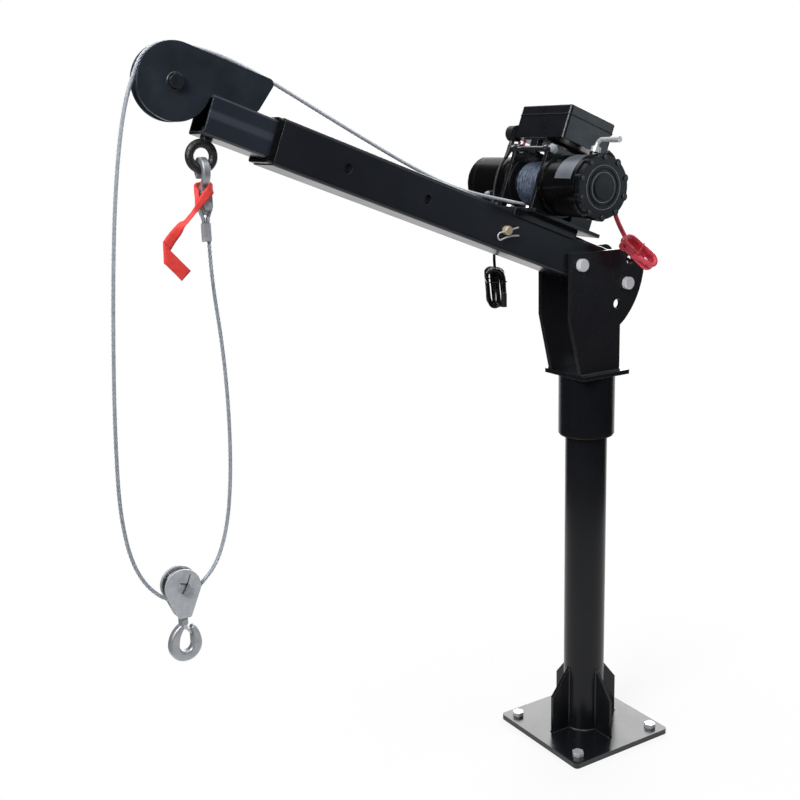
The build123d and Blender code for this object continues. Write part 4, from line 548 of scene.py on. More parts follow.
def webbing(name, spots, halves, thickness):
    """A flat strap with rounded edges along given middle points and half widths."""
    line = smooth_between(spots, STRAP_STEPS)
    sides = smooth_between(halves, STRAP_STEPS)
    vertices = []
    faces = []
    rings = []
    for index, (point, half) in enumerate(zip(line, sides)):
        way = line[min(index + 1, len(line) - 1)] - line[max(index - 1, 0)]
        flat = way.cross(half).normalized() * (thickness / 2)
        rim = [half * wide + flat * thick for wide, thick in STRAP_SECTION]
        rings.append([point + reach for reach in rim] + [point - reach for reach in rim])
    tube_rings(rings, vertices, faces)
    strap = mesh_object(name, vertices, faces)
    return strap, line_length(line), 2 * sum(half.length for half in sides) / len(sides)


def make_strap():
    """The pull strap: a loop round the rope-end hook, a twisted tail and a folded end."""
    spots = [CLEVIS_AT + Vector(middle) for middle, _ in STRAP_STATIONS]
    halves = [Vector(half) for _, half in STRAP_STATIONS]
    strap, length, width = webbing("pull_strap_web", spots, halves, STRAP_T)
    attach(strap, "jib")
    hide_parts("pull_strap")
    return strap


strap = make_strap()


# Details: strain reliefs, ties, washers, seams, rings of painted highlight, a bare plate, a collar of painted
# shade and weld beads

extras = []


def add_detail(piece, body, look):
    """A small piece that moves with a body; its look is put on with the others."""
    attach(piece, body)
    extras.append((piece, look))
    return piece


def stretch_of(line, length, count):
    """Evenly spaced points along the first length of a line."""
    points = [line[0]]
    gap = length / count
    left = gap
    for a, b in zip(line, line[1:]):
        start = a
        while (b - start).length >= left and len(points) <= count:
            start = start + (b - start).normalized() * left
            points.append(start)
            left = gap
        left -= (b - start).length
    return points


BOOT_RIBS = 5
BOOT_RIB = 0.0005
BOOT_STEPS = 30
BOOT_SIDES = 20
# Each boot: its length, and its radius at the housing and at its tip
POWER_BOOT = (0.03, 0.0068, 0.0048)
REMOTE_BOOT = (0.024, 0.005, 0.0031)


def make_boot(name, line, length, first_r, last_r):
    """A ribbed, tapering strain relief round the first stretch of a lead."""
    points = stretch_of(line, length, BOOT_STEPS)
    radii = []
    for index in range(len(points)):
        share = index / (len(points) - 1)
        rib = BOOT_RIB if int(share * BOOT_RIBS * 2) % 2 == 0 else 0.0
        radii.append(first_r + (last_r - first_r) * share + rib)
    return add_detail(tube_along(name, points, radii, BOOT_SIDES), "boom", "black_plastic")


make_boot("power_boot", power_line, *POWER_BOOT)
make_boot("remote_boot", remote_line, *REMOTE_BOOT)

LOOP_CORNER = 0.005
CORNER_STEPS = 6


def rounded_loop(centre, first_way, second_way, first_half, second_half):
    """Points round a rectangle with round corners."""
    points = []
    for quarter in range(4):
        first_side = 1 if quarter in (0, 3) else -1
        second_side = 1 if quarter in (0, 1) else -1
        middle = (centre + first_way * (first_side * (first_half - LOOP_CORNER))
                  + second_way * (second_side * (second_half - LOOP_CORNER)))
        for step in range(CORNER_STEPS + 1):
            angle = math.pi / 2 * (quarter + step / CORNER_STEPS)
            points.append(middle + (first_way * math.cos(angle) + second_way * math.sin(angle)) * LOOP_CORNER)
    return points


def ring_faces(rows, columns):
    """The faces between rows of points that close on themselves both ways."""
    faces = []
    for row in range(rows):
        here = row * columns
        there = (row + 1) % rows * columns
        for column in range(columns):
            after = (column + 1) % columns
            faces.append((here + column, here + after, there + after, there + column))
    return faces


def ring_tube(name, points, radius):
    """A closed tube round a loop of points."""
    vertices = []
    count = len(points)
    centre = sum(points, Vector()) / count
    for index, point in enumerate(points):
        way = (points[(index + 1) % count] - points[index - 1]).normalized()
        outward = point - centre
        outward = (outward - way * outward.dot(way)).normalized()
        vertices += ring_about(point, outward, way.cross(outward), radius, THIN_SIDES)
    return mesh_object(name, vertices, ring_faces(count, THIN_SIDES))


TIE_R = 0.0009
COIL_TIE_BACK = 0.003
COIL_TIE_HALVES = (0.0142, 0.0112)
HANK_TIE_UP = 0.012
HANK_TIE_HALVES = (0.0162, HANK_DEPTH / 2 + REMOTE_D / 2)


def make_tie(name, middle, first_way, second_way, halves, slot_name):
    """A tie round a bundle, from half its sizes inside."""
    loop = rounded_loop(middle, first_way, second_way, halves[0] + TIE_R, halves[1] + TIE_R)
    return add_detail(ring_tube(name, loop, TIE_R), "boom", slot_name)


coil_tie_at = COIL_MIDDLE - COIL_LONG * COIL_TIE_BACK
make_tie("coil_tie", coil_tie_at, COIL_SHORT, COIL_STEP, COIL_TIE_HALVES, "red_cable")
hank_tie_at = HANK_AT + FRONT * (HANK_DEPTH / 2) - DOWN * HANK_TIE_UP
hank_tie = make_tie("hank_tie", hank_tie_at, RIGHT, FRONT, HANK_TIE_HALVES, "black_plastic")
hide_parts("cord_ties")


def turned(name, centre, axis, profile, sides):
    """A ring turned about an axis, from the (radius, height) corners of its section."""
    side_way = axis.orthogonal().normalized()
    other_way = axis.cross(side_way)
    vertices = []
    for side in range(sides):
        angle = 2 * math.pi * side / sides
        out = side_way * math.cos(angle) + other_way * math.sin(angle)
        vertices += [centre + out * radius + axis * height for radius, height in profile]
    return mesh_object(name, vertices, ring_faces(sides, len(profile)), smooth=False)


NEAR = Vector((0.0, -1.0, 0.0))
TIP_FACE = 0.0145
TIP_WASHER = ((0.0062, 0.0), (0.0128, 0.0), (0.0128, 0.0012), (0.012, 0.0019), (0.0062, 0.0019))
TIP_WASHER_SIDES = 48
tip_washer = turned("tip_washer", TIP_AT + NEAR * TIP_FACE, NEAR, TIP_WASHER, TIP_WASHER_SIDES)
add_detail(tip_washer, "jib", "dark_bolt")

# Painted highlight: two thin rings on the gearbox cover in pale grey, standing in for lines of light on it
COVER_FACE = 0.15
COVER_LINES = (("cover_line_outer", 0.035), ("cover_line_inner", 0.0238))
COVER_LINE_SECTION = ((-0.0005, -0.0005), (0.0005, -0.0005), (0.0004, 0.0003), (-0.0004, 0.0003))
COVER_LINE_SIDES = 72
for name, radius in COVER_LINES:
    section = [(radius + out, height) for out, height in COVER_LINE_SECTION]
    cover_line = turned(name, WINCH_AT + NEAR * COVER_FACE, NEAR, section, COVER_LINE_SIDES)
    add_detail(cover_line, "boom", "painted_highlight_line")

LID_LIP_AT = boom(0.086, -0.005, 0.2185)
LID_LIP_HALVES = (0.051, 0.065)
LID_LIP_R = 0.0012
lid_seam = rounded_loop(LID_LIP_AT, OUT, ACROSS, *LID_LIP_HALVES)
add_detail(ring_tube("lid_lip", lid_seam, LID_LIP_R), "boom", "box_plastic")

PLATE_R = 0.0506
PLATE_T = 0.001
PLATE_TURN = (math.radians(-3.0), math.radians(70.0))
PLATE_Y = (-0.1355, -0.086)
PLATE_STEPS = 16


def make_blank_plate():
    """A bare rating plate, bent round the gearbox."""
    vertices = []
    faces = []
    for step in range(PLATE_STEPS + 1):
        angle = PLATE_TURN[0] + (PLATE_TURN[1] - PLATE_TURN[0]) * step / PLATE_STEPS
        for radius in (PLATE_R - PLATE_T, PLATE_R):
            for y in PLATE_Y:
                vertices.append(drum_spot(angle, radius, y))
    for step in range(PLATE_STEPS):
        a = 4 * step
        faces += [(a + 2, a + 3, a + 7, a + 6), (a, a + 4, a + 5, a + 1)]
        faces += [(a, a + 2, a + 6, a + 4), (a + 1, a + 5, a + 7, a + 3)]
    end = 4 * PLATE_STEPS
    faces += [(0, 1, 3, 2), (end, end + 2, end + 3, end + 1)]
    plate = mesh_object("blank_plate", vertices, faces, smooth=False)
    add_detail(plate, "boom", "plate_silver")


make_blank_plate()

# The painted shade collar's rings: at its first or last place along the boom, half its side, and its height
MOUTH_SHADE_ALONG = (0.599, 0.608)
MOUTH_SHADE_RINGS = ((0, 0.0335, 0.01), (1, 0.0335, 0.01), (1, 0.0296, 0.0111), (0, 0.0296, 0.0111))


def make_mouth_shade_collar():
    """A dark collar round the jib at the outer boom's mouth: painted shade in the gap between the jib and the
    boom.
    """
    vertices = []
    for end, half, perp in MOUTH_SHADE_RINGS:
        vertices += rounded_loop(boom(MOUTH_SHADE_ALONG[end], 0.0, perp), ACROSS, UP, half, half)
    rings = len(MOUTH_SHADE_RINGS)
    shade_collar = mesh_object("mouth_shade_collar", vertices, ring_faces(rings, len(vertices) // rings), smooth=False)
    add_detail(shade_collar, "boom", "black_cable")


make_mouth_shade_collar()

COTTER_R = 0.0009
COTTER_LEGS = (
    ((-0.0045, -0.0185, -0.0065), (0.001, -0.019, 0.001), (0.006, -0.0195, 0.013), (0.0095, -0.0195, 0.022)),
    ((-0.007, -0.0185, 0.0105), (-0.001, -0.0195, 0.009), (0.005, -0.0195, 0.0075)),
)
for index, leg in enumerate(COTTER_LEGS):
    line = spline_points([BLOCK_AT + Vector(point) for point in leg], CABLE_STEPS)
    cotter_leg = tube_along(f"cotter_leg_{index}", line, [COTTER_R] * len(line), THIN_SIDES)
    add_detail(cotter_leg, "block_shaft", "dark_bolt")

WELD_RIPPLE = 0.0007
WELD_WAVE = 0.005
WELD_WAVE_STEPS = 3
POST_WELD_R = 0.0032
GUSSET_WELD_R = 0.0024
CHEEK_WELD_R = 0.0028


def weld(name, points, body, radius):
    """A rippled weld bead along a line."""
    line = []
    for a, b in zip(points, points[1:]):
        count = max(1, round((b - a).length * WELD_WAVE_STEPS / WELD_WAVE))
        line += [a + (b - a) * (step / count) for step in range(count)]
    line.append(points[-1])
    turns = [2 * math.pi * index / WELD_WAVE_STEPS for index in range(len(line))]
    radii = [radius + WELD_RIPPLE * math.sin(turn) for turn in turns]
    add_detail(tube_along(name, line, radii, THIN_SIDES), body, "black_steel")


def level_way(angle):
    """The direction at an angle in the crane's XY plane."""
    return Vector((math.cos(angle), math.sin(angle), 0.0))


PLATE_TOP = Vector((0.0, 0.0, 0.01))
GUSSET_TOP = Vector((0.0, 0.0, 0.135))
GUSSET_HALF = 0.003
GUSSET_OUT = 0.078
POST_R = 0.03805
POST_WELD_FROM_GUSSET = 0.12
POST_WELD_STEPS = 12
FLANGE_TOP = 0.7153
CHEEK_OUT = 0.0445
CHEEK_FOOT = (-0.052, 0.0375)
for quarter in range(4):
    start = math.pi / 2 * quarter
    first, last = (start + turn for turn in (POST_WELD_FROM_GUSSET, math.pi / 2 - POST_WELD_FROM_GUSSET))
    angles = [first + (last - first) * step / POST_WELD_STEPS for step in range(POST_WELD_STEPS + 1)]
    weld(f"weld_post_{quarter}", [level_way(angle) * POST_R + PLATE_TOP for angle in angles], "base", POST_WELD_R)
    way = level_way(start)
    side_way = Vector((-way.y, way.x, 0.0))
    for side in (-1, 1):
        edge = side_way * (side * GUSSET_HALF)
        inner = way * POST_R + edge
        outer = way * GUSSET_OUT + edge
        number = f"{quarter}_{side + 1}"
        weld(f"weld_foot_{number}", [inner + PLATE_TOP, outer + PLATE_TOP], "base", GUSSET_WELD_R)
        weld(f"weld_rise_{number}", [inner + PLATE_TOP, inner + GUSSET_TOP], "base", GUSSET_WELD_R)
for index, y in enumerate((-CHEEK_OUT, CHEEK_OUT)):
    weld(f"weld_cheek_{index}", [Vector((x, y, FLANGE_TOP)) for x in CHEEK_FOOT], "head", CHEEK_WELD_R)


# Materials


def link(tree, source, target):
    tree.links.new(source, target)


def noise(tree, place, scale, detail=4.0):
    """A noise texture in the crane's own metres."""
    node = tree.nodes.new("ShaderNodeTexNoise")
    node.inputs["Scale"].default_value = scale
    node.inputs["Detail"].default_value = detail
    link(tree, place, node.inputs["Vector"])
    return node.outputs["Fac"]


def spread(tree, value, low, high, start=0.3, end=0.7):
    """A value between start and end, spread from low to high."""
    node = tree.nodes.new("ShaderNodeMapRange")
    node.inputs["From Min"].default_value = start
    node.inputs["From Max"].default_value = end
    node.inputs["To Min"].default_value = low
    node.inputs["To Max"].default_value = high
    link(tree, value, node.inputs["Value"])
    return node.outputs["Result"]


def mix_colour(tree, share, first, second):
    """The first colour where share is 0, and the second where it is 1."""
    node = tree.nodes.new("ShaderNodeMix")
    node.data_type = "RGBA"
    link(tree, share, node.inputs["Factor"])
    for colour, socket in ((first, node.inputs["A"]), (second, node.inputs["B"])):
        if isinstance(colour, tuple):
            socket.default_value = (*colour, 1.0)
        else:
            link(tree, colour, socket)
    return node.outputs["Result"]


def rounded_normal(tree, radius):
    """The surface normal with its sharp edges rounded off, and how near an edge a point is."""
    soft = tree.nodes.new("ShaderNodeBevel")
    soft.samples = 4
    soft.inputs["Radius"].default_value = radius
    flat = tree.nodes.new("ShaderNodeNewGeometry").outputs["Normal"]
    likeness = tree.nodes.new("ShaderNodeVectorMath")
    likeness.operation = "DOT_PRODUCT"
    link(tree, soft.outputs["Normal"], likeness.inputs[0])
    link(tree, flat, likeness.inputs[1])
    return soft.outputs["Normal"], spread(tree, likeness.outputs["Value"], 1.0, 0.0, start=0.8, end=0.99)


def bump(tree, shader, normal, height, strength, distance):
    """A fine relief on the surface."""
    node = tree.nodes.new("ShaderNodeBump")
    node.inputs["Strength"].default_value = strength
    node.inputs["Distance"].default_value = distance
    link(tree, height, node.inputs["Height"])
    if normal:
        link(tree, normal, node.inputs["Normal"])
    link(tree, node.outputs["Normal"], shader.inputs["Normal"])


# The share of the painted highlight band's half width that is at full strength
HIGHLIGHT_BAND_CORE = 0.4


def painted_highlight_band(tree, place, perp, half):
    """A painted highlight: 1 on a line that runs along the boom at one height, fading to 0 on both sides of it.
    """
    height = tree.nodes.new("ShaderNodeVectorMath")
    height.operation = "DOT_PRODUCT"
    height.inputs[1].default_value = UP
    link(tree, place, height.inputs[0])
    away = tree.nodes.new("ShaderNodeMath")
    away.operation = "SUBTRACT"
    away.inputs[1].default_value = PIVOT.dot(UP) + perp
    link(tree, height.outputs["Value"], away.inputs[0])
    size = tree.nodes.new("ShaderNodeMath")
    size.operation = "ABSOLUTE"
    link(tree, away.outputs["Value"], size.inputs[0])
    return spread(tree, size.outputs["Value"], 1.0, 0.0, start=half * HIGHLIGHT_BAND_CORE, end=half)


def painted_gap_shade(tree, place, pitch):
    """Painted shade: 1 in the uneven gaps between the turns of a winding, 0 on the turns."""
    node = tree.nodes.new("ShaderNodeTexWave")
    node.bands_direction = "Y"
    # At a scale of 1 the texture repeats every pi / 10
    node.inputs["Scale"].default_value = math.pi / 10 / pitch
    node.inputs["Distortion"].default_value = 3.0
    node.inputs["Detail"].default_value = 2.0
    node.inputs["Detail Scale"].default_value = 2.5
    link(tree, place, node.inputs["Vector"])
    return spread(tree, node.outputs["Fac"], 1.0, 0.0, start=0.15, end=0.6)


# How much finer than its patches a surface's gloss and its worn edges change
GLOSS_FINER = 2
WORN_FINER = 6
GRAIN_DETAIL = 6.0


def finish(name, dark, light, roughness, patch, grain, relief, metallic=0.0, specular=0.5, edge=0.0, worn=None,
           highlight_band=None, gap_shade=None):
    """A surface with a slow change of colour and gloss, a fine grain, and rounded, paler edges if asked; also a
    painted highlight band along the boom and painted shade between the turns of a winding, if asked.
    """
    material = bpy.data.materials.new(name)
    material.use_nodes = True
    tree = material.node_tree
    shader = tree.nodes["Principled BSDF"]
    shader.inputs["Metallic"].default_value = metallic
    shader.inputs["Specular IOR Level"].default_value = specular
    place = tree.nodes.new("ShaderNodeTexCoord").outputs["Object"]
    colour = mix_colour(tree, spread(tree, noise(tree, place, patch), 0.0, 1.0), dark, light)
    # A paler line painted along the boom, if asked: a painted highlight
    if highlight_band:
        perp, half, highlight_band_colour = highlight_band
        colour = mix_colour(tree, painted_highlight_band(tree, place, perp, half), colour, highlight_band_colour)
    # Darker colour painted in the gaps between turns, if asked: painted shade
    if gap_shade:
        pitch, gap_shade_colour = gap_shade
        colour = mix_colour(tree, painted_gap_shade(tree, place, pitch), colour, gap_shade_colour)
    normal = None
    if edge:
        normal, nearness = rounded_normal(tree, edge)
        if worn:
            scuffs = tree.nodes.new("ShaderNodeMath")
            scuffs.operation = "MULTIPLY"
            link(tree, nearness, scuffs.inputs[0])
            wear = noise(tree, place, patch * WORN_FINER)
            link(tree, spread(tree, wear, 0.0, 1.0, start=0.42, end=0.7), scuffs.inputs[1])
            colour = mix_colour(tree, scuffs.outputs["Value"], colour, worn)
    link(tree, colour, shader.inputs["Base Color"])
    link(tree, spread(tree, noise(tree, place, patch * GLOSS_FINER), *roughness), shader.inputs["Roughness"])
    bump(tree, shader, normal, noise(tree, place, grain, GRAIN_DETAIL), *relief)
    return material


# The strength and depth of the relief of paint and of plating, and the colour of worn paint
PAINTED = (0.05, 0.0003)
PLATED = (0.05, 0.0002)
WORN_PAINT = (0.06, 0.062, 0.07)
# By slot, or by a name of its own: two colours, the range of roughness, the scales of patches and grain,
# the relief, and what else the surface has
looks = {
    "black_steel": finish(
        "black_coat", (0.0062, 0.0068, 0.0086), (0.0076, 0.0083, 0.0104), (0.22, 0.28), 9.0, 420.0, PAINTED,
        edge=0.0014, worn=WORN_PAINT),
    # Painted light: the boom's paint in a paler, bluer black than black_steel, standing in for the sheen on it
    "black_tube": finish(
        "tube_coat_painted_light", (0.013, 0.0145, 0.0195), (0.0165, 0.0185, 0.0245), (0.2, 0.26), 7.0, 380.0, PAINTED,
        specular=0.3, edge=0.001, worn=(0.05, 0.052, 0.06)),
    "post_coat": finish(
        "post_coat", (0.0062, 0.0066, 0.0084), (0.0076, 0.0082, 0.0102), (0.22, 0.28), 9.0, 420.0, PAINTED,
        specular=0.22, edge=0.0014, worn=WORN_PAINT),
    "cheek_coat": finish(
        "cheek_coat", (0.014, 0.0137, 0.0165), (0.016, 0.0157, 0.019), (0.24, 0.3), 9.0, 420.0, PAINTED,
        specular=0.2, edge=0.0014, worn=WORN_PAINT),
    # Painted light: the sheave plates' paint in a paler, bluer black, standing in for the light and sheen at the
    # tip
    "tip_coat_painted_light": finish(
        "tip_coat_painted_light", (0.0165, 0.021, 0.029), (0.029, 0.036, 0.049), (0.22, 0.28), 22.0, 420.0, PAINTED,
        edge=0.0012, worn=(0.08, 0.082, 0.09)),
    # Painted light: the jib's paint in a paler, bluer black, with a painted highlight line along it
    "jib_coat_painted_light": finish(
        "jib_coat_painted_light", (0.02, 0.025, 0.035), (0.027, 0.033, 0.046), (0.2, 0.26), 7.0, 380.0, PAINTED, edge=0.001,
        worn=(0.05, 0.052, 0.06), highlight_band=(0.0125, 0.0075, (0.052, 0.062, 0.082))),
    "zinc_bolt": finish(
        "zinc", (0.56, 0.57, 0.59), (0.68, 0.69, 0.71), (0.3, 0.42), 60.0, 1500.0, PLATED, metallic=0.45,
        edge=0.0008),
    "pin_zinc": finish(
        "pin_zinc", (0.72, 0.73, 0.76), (0.82, 0.83, 0.86), (0.34, 0.46), 60.0, 1500.0, PLATED, edge=0.001),
    "axle_zinc": finish(
        "axle_zinc", (0.34, 0.35, 0.37), (0.48, 0.49, 0.51), (0.3, 0.42), 60.0, 1500.0, PLATED, metallic=0.5,
        edge=0.0008),
    "gold_pin": finish(
        "gold_zinc", (0.5, 0.395, 0.27), (0.64, 0.52, 0.375), (0.32, 0.44), 70.0, 1500.0, PLATED, metallic=0.35,
        edge=0.0008),
    "bush_bronze": finish(
        "bronze", (0.03, 0.024, 0.016), (0.055, 0.044, 0.028), (0.3, 0.45), 50.0, 2000.0, (0.08, 0.0002),
        metallic=0.6),
    "slide_plastic": finish(
        "nylon", (0.6, 0.59, 0.55), (0.7, 0.69, 0.65), (0.4, 0.55), 40.0, 1500.0, (0.08, 0.0003)),
    "sheave_steel": finish(
        "machined", (0.16, 0.165, 0.175), (0.3, 0.31, 0.325), (0.28, 0.45), 40.0, 1500.0, (0.1, 0.0003),
        metallic=0.9, edge=0.0006),
    "galvanised": finish(
        "galvanised", (0.48, 0.5, 0.53), (0.58, 0.6, 0.63), (0.34, 0.5), 140.0, 700.0, (0.08, 0.0004),
        metallic=0.2, edge=0.001),
    "cast_black": finish(
        "casting", (0.006, 0.006, 0.007), (0.034, 0.035, 0.038), (0.28, 0.45), 260.0, 380.0, (0.7, 0.0016),
        edge=0.0008, worn=(0.1, 0.1, 0.11)),
    "forged_steel": finish(
        "forged", (0.36, 0.375, 0.4), (0.5, 0.515, 0.54), (0.34, 0.5), 70.0, 500.0, (0.2, 0.0006), metallic=0.6,
        edge=0.0012),
    "chrome_bar": finish(
        "chrome", (0.36, 0.37, 0.39), (0.46, 0.47, 0.49), (0.14, 0.22), 40.0, 1500.0, (0.02, 0.0002),
        metallic=1.0, edge=0.0006),
    "cover_grey": finish(
        "cover", (0.005, 0.0054, 0.0064), (0.0064, 0.0069, 0.0082), (0.2, 0.27), 22.0, 700.0, PAINTED,
        specular=0.2, edge=0.0009, worn=(0.06, 0.062, 0.066)),
    "motor_black": finish(
        "motor", (0.0018, 0.0018, 0.0021), (0.0026, 0.0026, 0.003), (0.16, 0.22), 22.0, 700.0, PAINTED,
        specular=0.35, edge=0.001, worn=(0.06, 0.06, 0.066)),
    "box_plastic": finish(
        "box", (0.003, 0.0038, 0.006), (0.0042, 0.0052, 0.008), (0.26, 0.32), 18.0, 900.0, (0.02, 0.0002),
        edge=0.0014),
    "black_plastic": finish(
        "plastic", (0.006, 0.006, 0.007), (0.009, 0.009, 0.01), (0.28, 0.4), 60.0, 1200.0, (0.06, 0.0003),
        edge=0.0006),
    "grey_plastic": finish(
        "grey", (0.012, 0.0125, 0.014), (0.02, 0.0205, 0.022), (0.3, 0.42), 60.0, 1200.0, (0.06, 0.0003),
        edge=0.001),
    "wire_rope": finish(
        "wires", (0.36, 0.39, 0.44), (0.6, 0.64, 0.7), (0.32, 0.5), 300.0, 2000.0, (0.25, 0.0004), metallic=0.25),
    # Painted light: the wire rope along the boom's top in a paler colour than wire_rope, standing in for the
    # light on it
    "run_rope_painted_light": finish(
        "run_wires_painted_light", (0.62, 0.66, 0.72), (0.84, 0.87, 0.91), (0.32, 0.5), 300.0, 2000.0, (0.25, 0.0004)),
    "red_cable": finish(
        "red_sheath", (0.78, 0.062, 0.1), (0.9, 0.095, 0.145), (0.24, 0.34), 40.0, 700.0, PAINTED),
    "black_cable": finish(
        "black_sheath", (0.003, 0.003, 0.0034), (0.005, 0.005, 0.0054), (0.24, 0.32), 60.0, 700.0, PAINTED,
        specular=0.35),
    "copper_lug": finish(
        "lug", (0.52, 0.05, 0.07), (0.64, 0.08, 0.105), (0.28, 0.4), 60.0, 1200.0, (0.06, 0.0002), metallic=0.1,
        edge=0.0006),
    "red_web": finish(
        "web", (0.88, 0.048, 0.04), (0.98, 0.075, 0.062), (0.6, 0.8), 160.0, 1300.0, (0.5, 0.0005)),
    # Painted shade: the wire rope on the drum in a darker, bluer colour than wire_rope, with darker colour
    # painted between its turns
    "drum_rope_painted_shade": finish(
        "drum_wires_painted_shade", (0.058, 0.076, 0.115), (0.225, 0.285, 0.4), (0.3, 0.45), 120.0, 2000.0, (0.3, 0.0004),
        metallic=0.3, gap_shade=(WIND_PITCH, (0.012, 0.015, 0.024))),
    # Painted highlight: pale grey for the thin rings on the gearbox cover
    "painted_highlight_line": finish(
        "painted_highlight_line", (0.16, 0.165, 0.175), (0.24, 0.245, 0.26), (0.3, 0.4), 60.0, 1200.0, PLATED),
    "plate_silver": finish(
        "plate_silver", (0.15, 0.166, 0.195), (0.215, 0.235, 0.27), (0.28, 0.38), 25.0, 900.0, PLATED,
        metallic=0.5, edge=0.0005),
    "dark_bolt": finish(
        "dark_bolt", (0.02, 0.022, 0.027), (0.04, 0.043, 0.05), (0.22, 0.34), 60.0, 900.0, (0.08, 0.0002),
        metallic=0.5, edge=0.001, worn=(0.3, 0.31, 0.33)),
}


def dress(obj, look):
    """Put a look on a piece or a node."""
    obj.data.materials.clear()
    obj.data.materials.append(looks[look])


slots = {row["node"]: row["material_slot"] for row in frame["record"]["subparts"]}
for node_name, node in nodes.items():
    dress(node, slots[node_name])
NODE_LOOKS = {
    "dark_bolt": ("sheave_axle", "cover_screws"), "post_coat": ("post_tube", "sleeve_tube", "base_gussets"),
    "tip_coat_painted_light": ("sheave_plates",), "jib_coat_painted_light": ("jib_tube",), "cheek_coat": ("cheeks",),
    "zinc_bolt": ("clutch_lever",), "axle_zinc": ("block_axle",), "pin_zinc": ("cheek_pins",),
}
for look, node_names in NODE_LOOKS.items():
    for node_name in node_names:
        dress(nodes[node_name], look)
for piece, look in extras:
    dress(piece, look)
for piece in (power_cable, *motor_wires):
    dress(piece, "red_cable")
dress(remote_cable, "black_cable")
dress(rope_layer, "drum_rope_painted_shade")
dress(rope_along, "run_rope_painted_light")
for piece in (rope_loop, rope_end):
    dress(piece, "wire_rope")
dress(strap, "red_web")


# Stage: a white floor with a soft shadow, a dark card round most of the crane, and soft boxes

FLOOR_R = 1.3
FLOOR_Z = -0.0005
FLOOR_SIDES = 96
FLOOR_COLOUR = (0.9, 0.9, 0.9, 1.0)
# The share of plain white on the floor, near the post and away from it, and where it changes
FLOOR_WHITE = (0.8, 1.0)
FLOOR_WHITE_AT = (0.15, 0.7)
WHITE = (1.0, 1.0, 1.0, 1.0)
WORLD_LIGHT = 0.35
CARD_R = 4.5
CARD_LOW = -3.0
CARD_HIGH = 4.5
CARD_TURN = (math.radians(-150.0), math.radians(125.0))
CARD_STEPS = 40
CARD_COLOUR = (0.02, 0.02, 0.024, 1.0)
VIEW_WAY = math.atan2(-math.cos(CAMERA_YAW), -math.sin(CAMERA_YAW))
SCENE_AT = Vector((-0.45, 0.0, 0.62))


def seen_ray(tree):
    """1 for rays that show the stage itself: straight from the camera, mirrored, or through glass."""
    path = tree.nodes.new("ShaderNodeLightPath")
    total = path.outputs["Is Camera Ray"]
    for ray in ("Is Glossy Ray", "Is Transmission Ray"):
        node = tree.nodes.new("ShaderNodeMath")
        node.operation = "MAXIMUM"
        link(tree, total, node.inputs[0])
        link(tree, path.outputs[ray], node.inputs[1])
        total = node.outputs["Value"]
    return total


def make_floor():
    """A round floor that is white to the eye and keeps the crane's shadow."""
    angles = [2 * math.pi * side / FLOOR_SIDES for side in range(FLOOR_SIDES)]
    rim = [(FLOOR_R * math.cos(angle), FLOOR_R * math.sin(angle), FLOOR_Z) for angle in angles]
    floor = mesh_object("floor", rim, [tuple(range(FLOOR_SIDES))], smooth=False)
    material = bpy.data.materials.new("floor")
    material.use_nodes = True
    tree = material.node_tree
    tree.nodes.clear()
    diffuse = tree.nodes.new("ShaderNodeBsdfDiffuse")
    diffuse.inputs["Color"].default_value = FLOOR_COLOUR
    glow = tree.nodes.new("ShaderNodeEmission")
    glow.inputs["Color"].default_value = WHITE
    place = tree.nodes.new("ShaderNodeTexCoord").outputs["Object"]
    reach = tree.nodes.new("ShaderNodeVectorMath")
    reach.operation = "LENGTH"
    link(tree, place, reach.inputs[0])
    share = tree.nodes.new("ShaderNodeMath")
    share.operation = "MULTIPLY"
    link(tree, seen_ray(tree), share.inputs[0])
    link(tree, spread(tree, reach.outputs["Value"], *FLOOR_WHITE, *FLOOR_WHITE_AT), share.inputs[1])
    mix = tree.nodes.new("ShaderNodeMixShader")
    link(tree, share.outputs["Value"], mix.inputs["Fac"])
    link(tree, diffuse.outputs["BSDF"], mix.inputs[1])
    link(tree, glow.outputs["Emission"], mix.inputs[2])
    out = tree.nodes.new("ShaderNodeOutputMaterial")
    link(tree, mix.outputs["Shader"], out.inputs["Surface"])
    floor.data.materials.append(material)


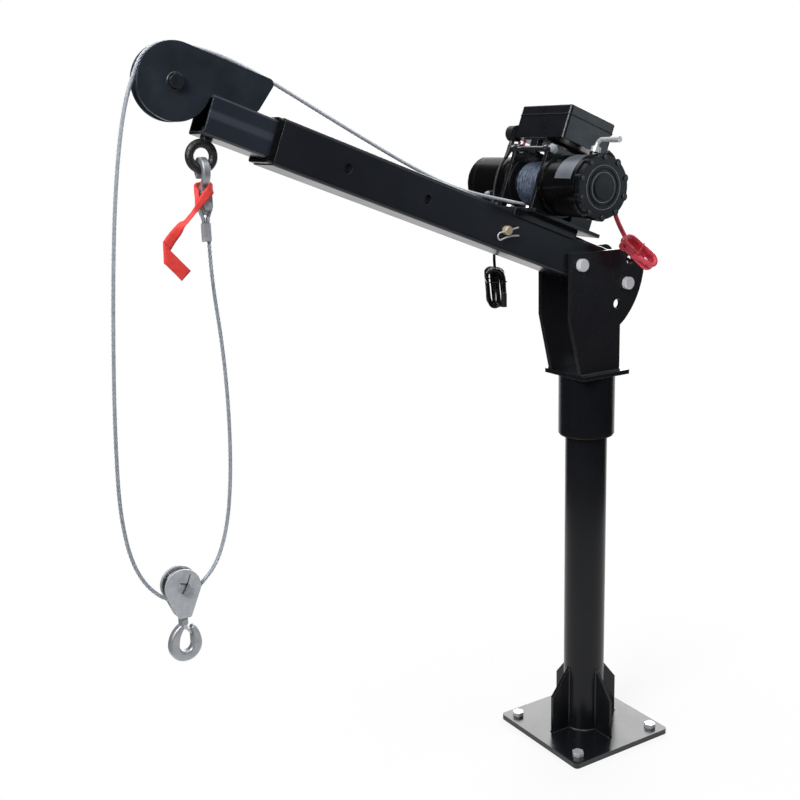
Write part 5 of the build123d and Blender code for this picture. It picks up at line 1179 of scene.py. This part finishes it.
def make_card():
    """A dark card curved round the camera's side and past it, so that faces towards it stay black."""
    vertices = []
    faces = []
    for step in range(CARD_STEPS + 1):
        angle = VIEW_WAY + CARD_TURN[0] + (CARD_TURN[1] - CARD_TURN[0]) * step / CARD_STEPS
        spot = SCENE_AT + level_way(angle) * CARD_R
        vertices.append((spot.x, spot.y, CARD_LOW))
        vertices.append((spot.x, spot.y, CARD_HIGH))
    for step in range(CARD_STEPS):
        base = 2 * step
        faces.append((base, base + 2, base + 3, base + 1))
    card = mesh_object("card", vertices, faces)
    material = bpy.data.materials.new("card")
    material.use_nodes = True
    material.node_tree.nodes["Principled BSDF"].inputs["Base Color"].default_value = CARD_COLOUR
    card.data.materials.append(material)
    card.visible_camera = False


def make_world():
    """A white world that lights the crane less than it shows."""
    world = bpy.data.worlds.new("world")
    world.use_nodes = True
    tree = world.node_tree
    background = tree.nodes["Background"]
    background.inputs["Color"].default_value = WHITE
    link(tree, spread(tree, seen_ray(tree), WORLD_LIGHT, 1.0, 0.0, 1.0), background.inputs["Strength"])
    bpy.context.scene.world = world


# Each lamp: its name, its way round from the camera in degrees, its height over the crane's middle, its
# distance, its width and height, its brightness, and its tint if it has one
SOFT_BOXES = (
    ("key", -34.0, 1.9, 2.4, 1.4, 1.4, 13.0),
    ("back", 164.0, 0.84, 2.94, 3.0, 1.4, 4.6),
    ("side", 80.0, 1.0, 2.6, 0.8, 1.8, 2.0, (0.8, 0.92, 1.0)),
    ("top", 0.0, 2.6, 0.4, 1.6, 1.6, 3.0),
)


def soft_box(name, way, height, distance, width, tall, radiance, tint=(1.0, 1.0, 1.0)):
    """A rectangular lamp that faces the crane, with a given brightness."""
    data = bpy.data.lights.new(name, "AREA")
    data.color = tint
    data.shape = "RECTANGLE"
    data.size = width
    data.size_y = tall
    data.energy = radiance * math.pi * width * tall
    lamp = bpy.data.objects.new(name, data)
    bpy.context.scene.collection.objects.link(lamp)
    angle = VIEW_WAY + math.radians(way)
    spot = SCENE_AT + Vector((math.cos(angle) * distance, math.sin(angle) * distance, height))
    turn = (SCENE_AT - spot).to_track_quat("-Z", "Y").to_matrix().to_4x4()
    lamp.matrix_world = Matrix.Translation(spot) @ turn
    lamp.visible_camera = False


make_floor()
make_card()
make_world()
for box in SOFT_BOXES:
    soft_box(*box)
bpy.context.scene.view_settings.view_transform = "Standard"
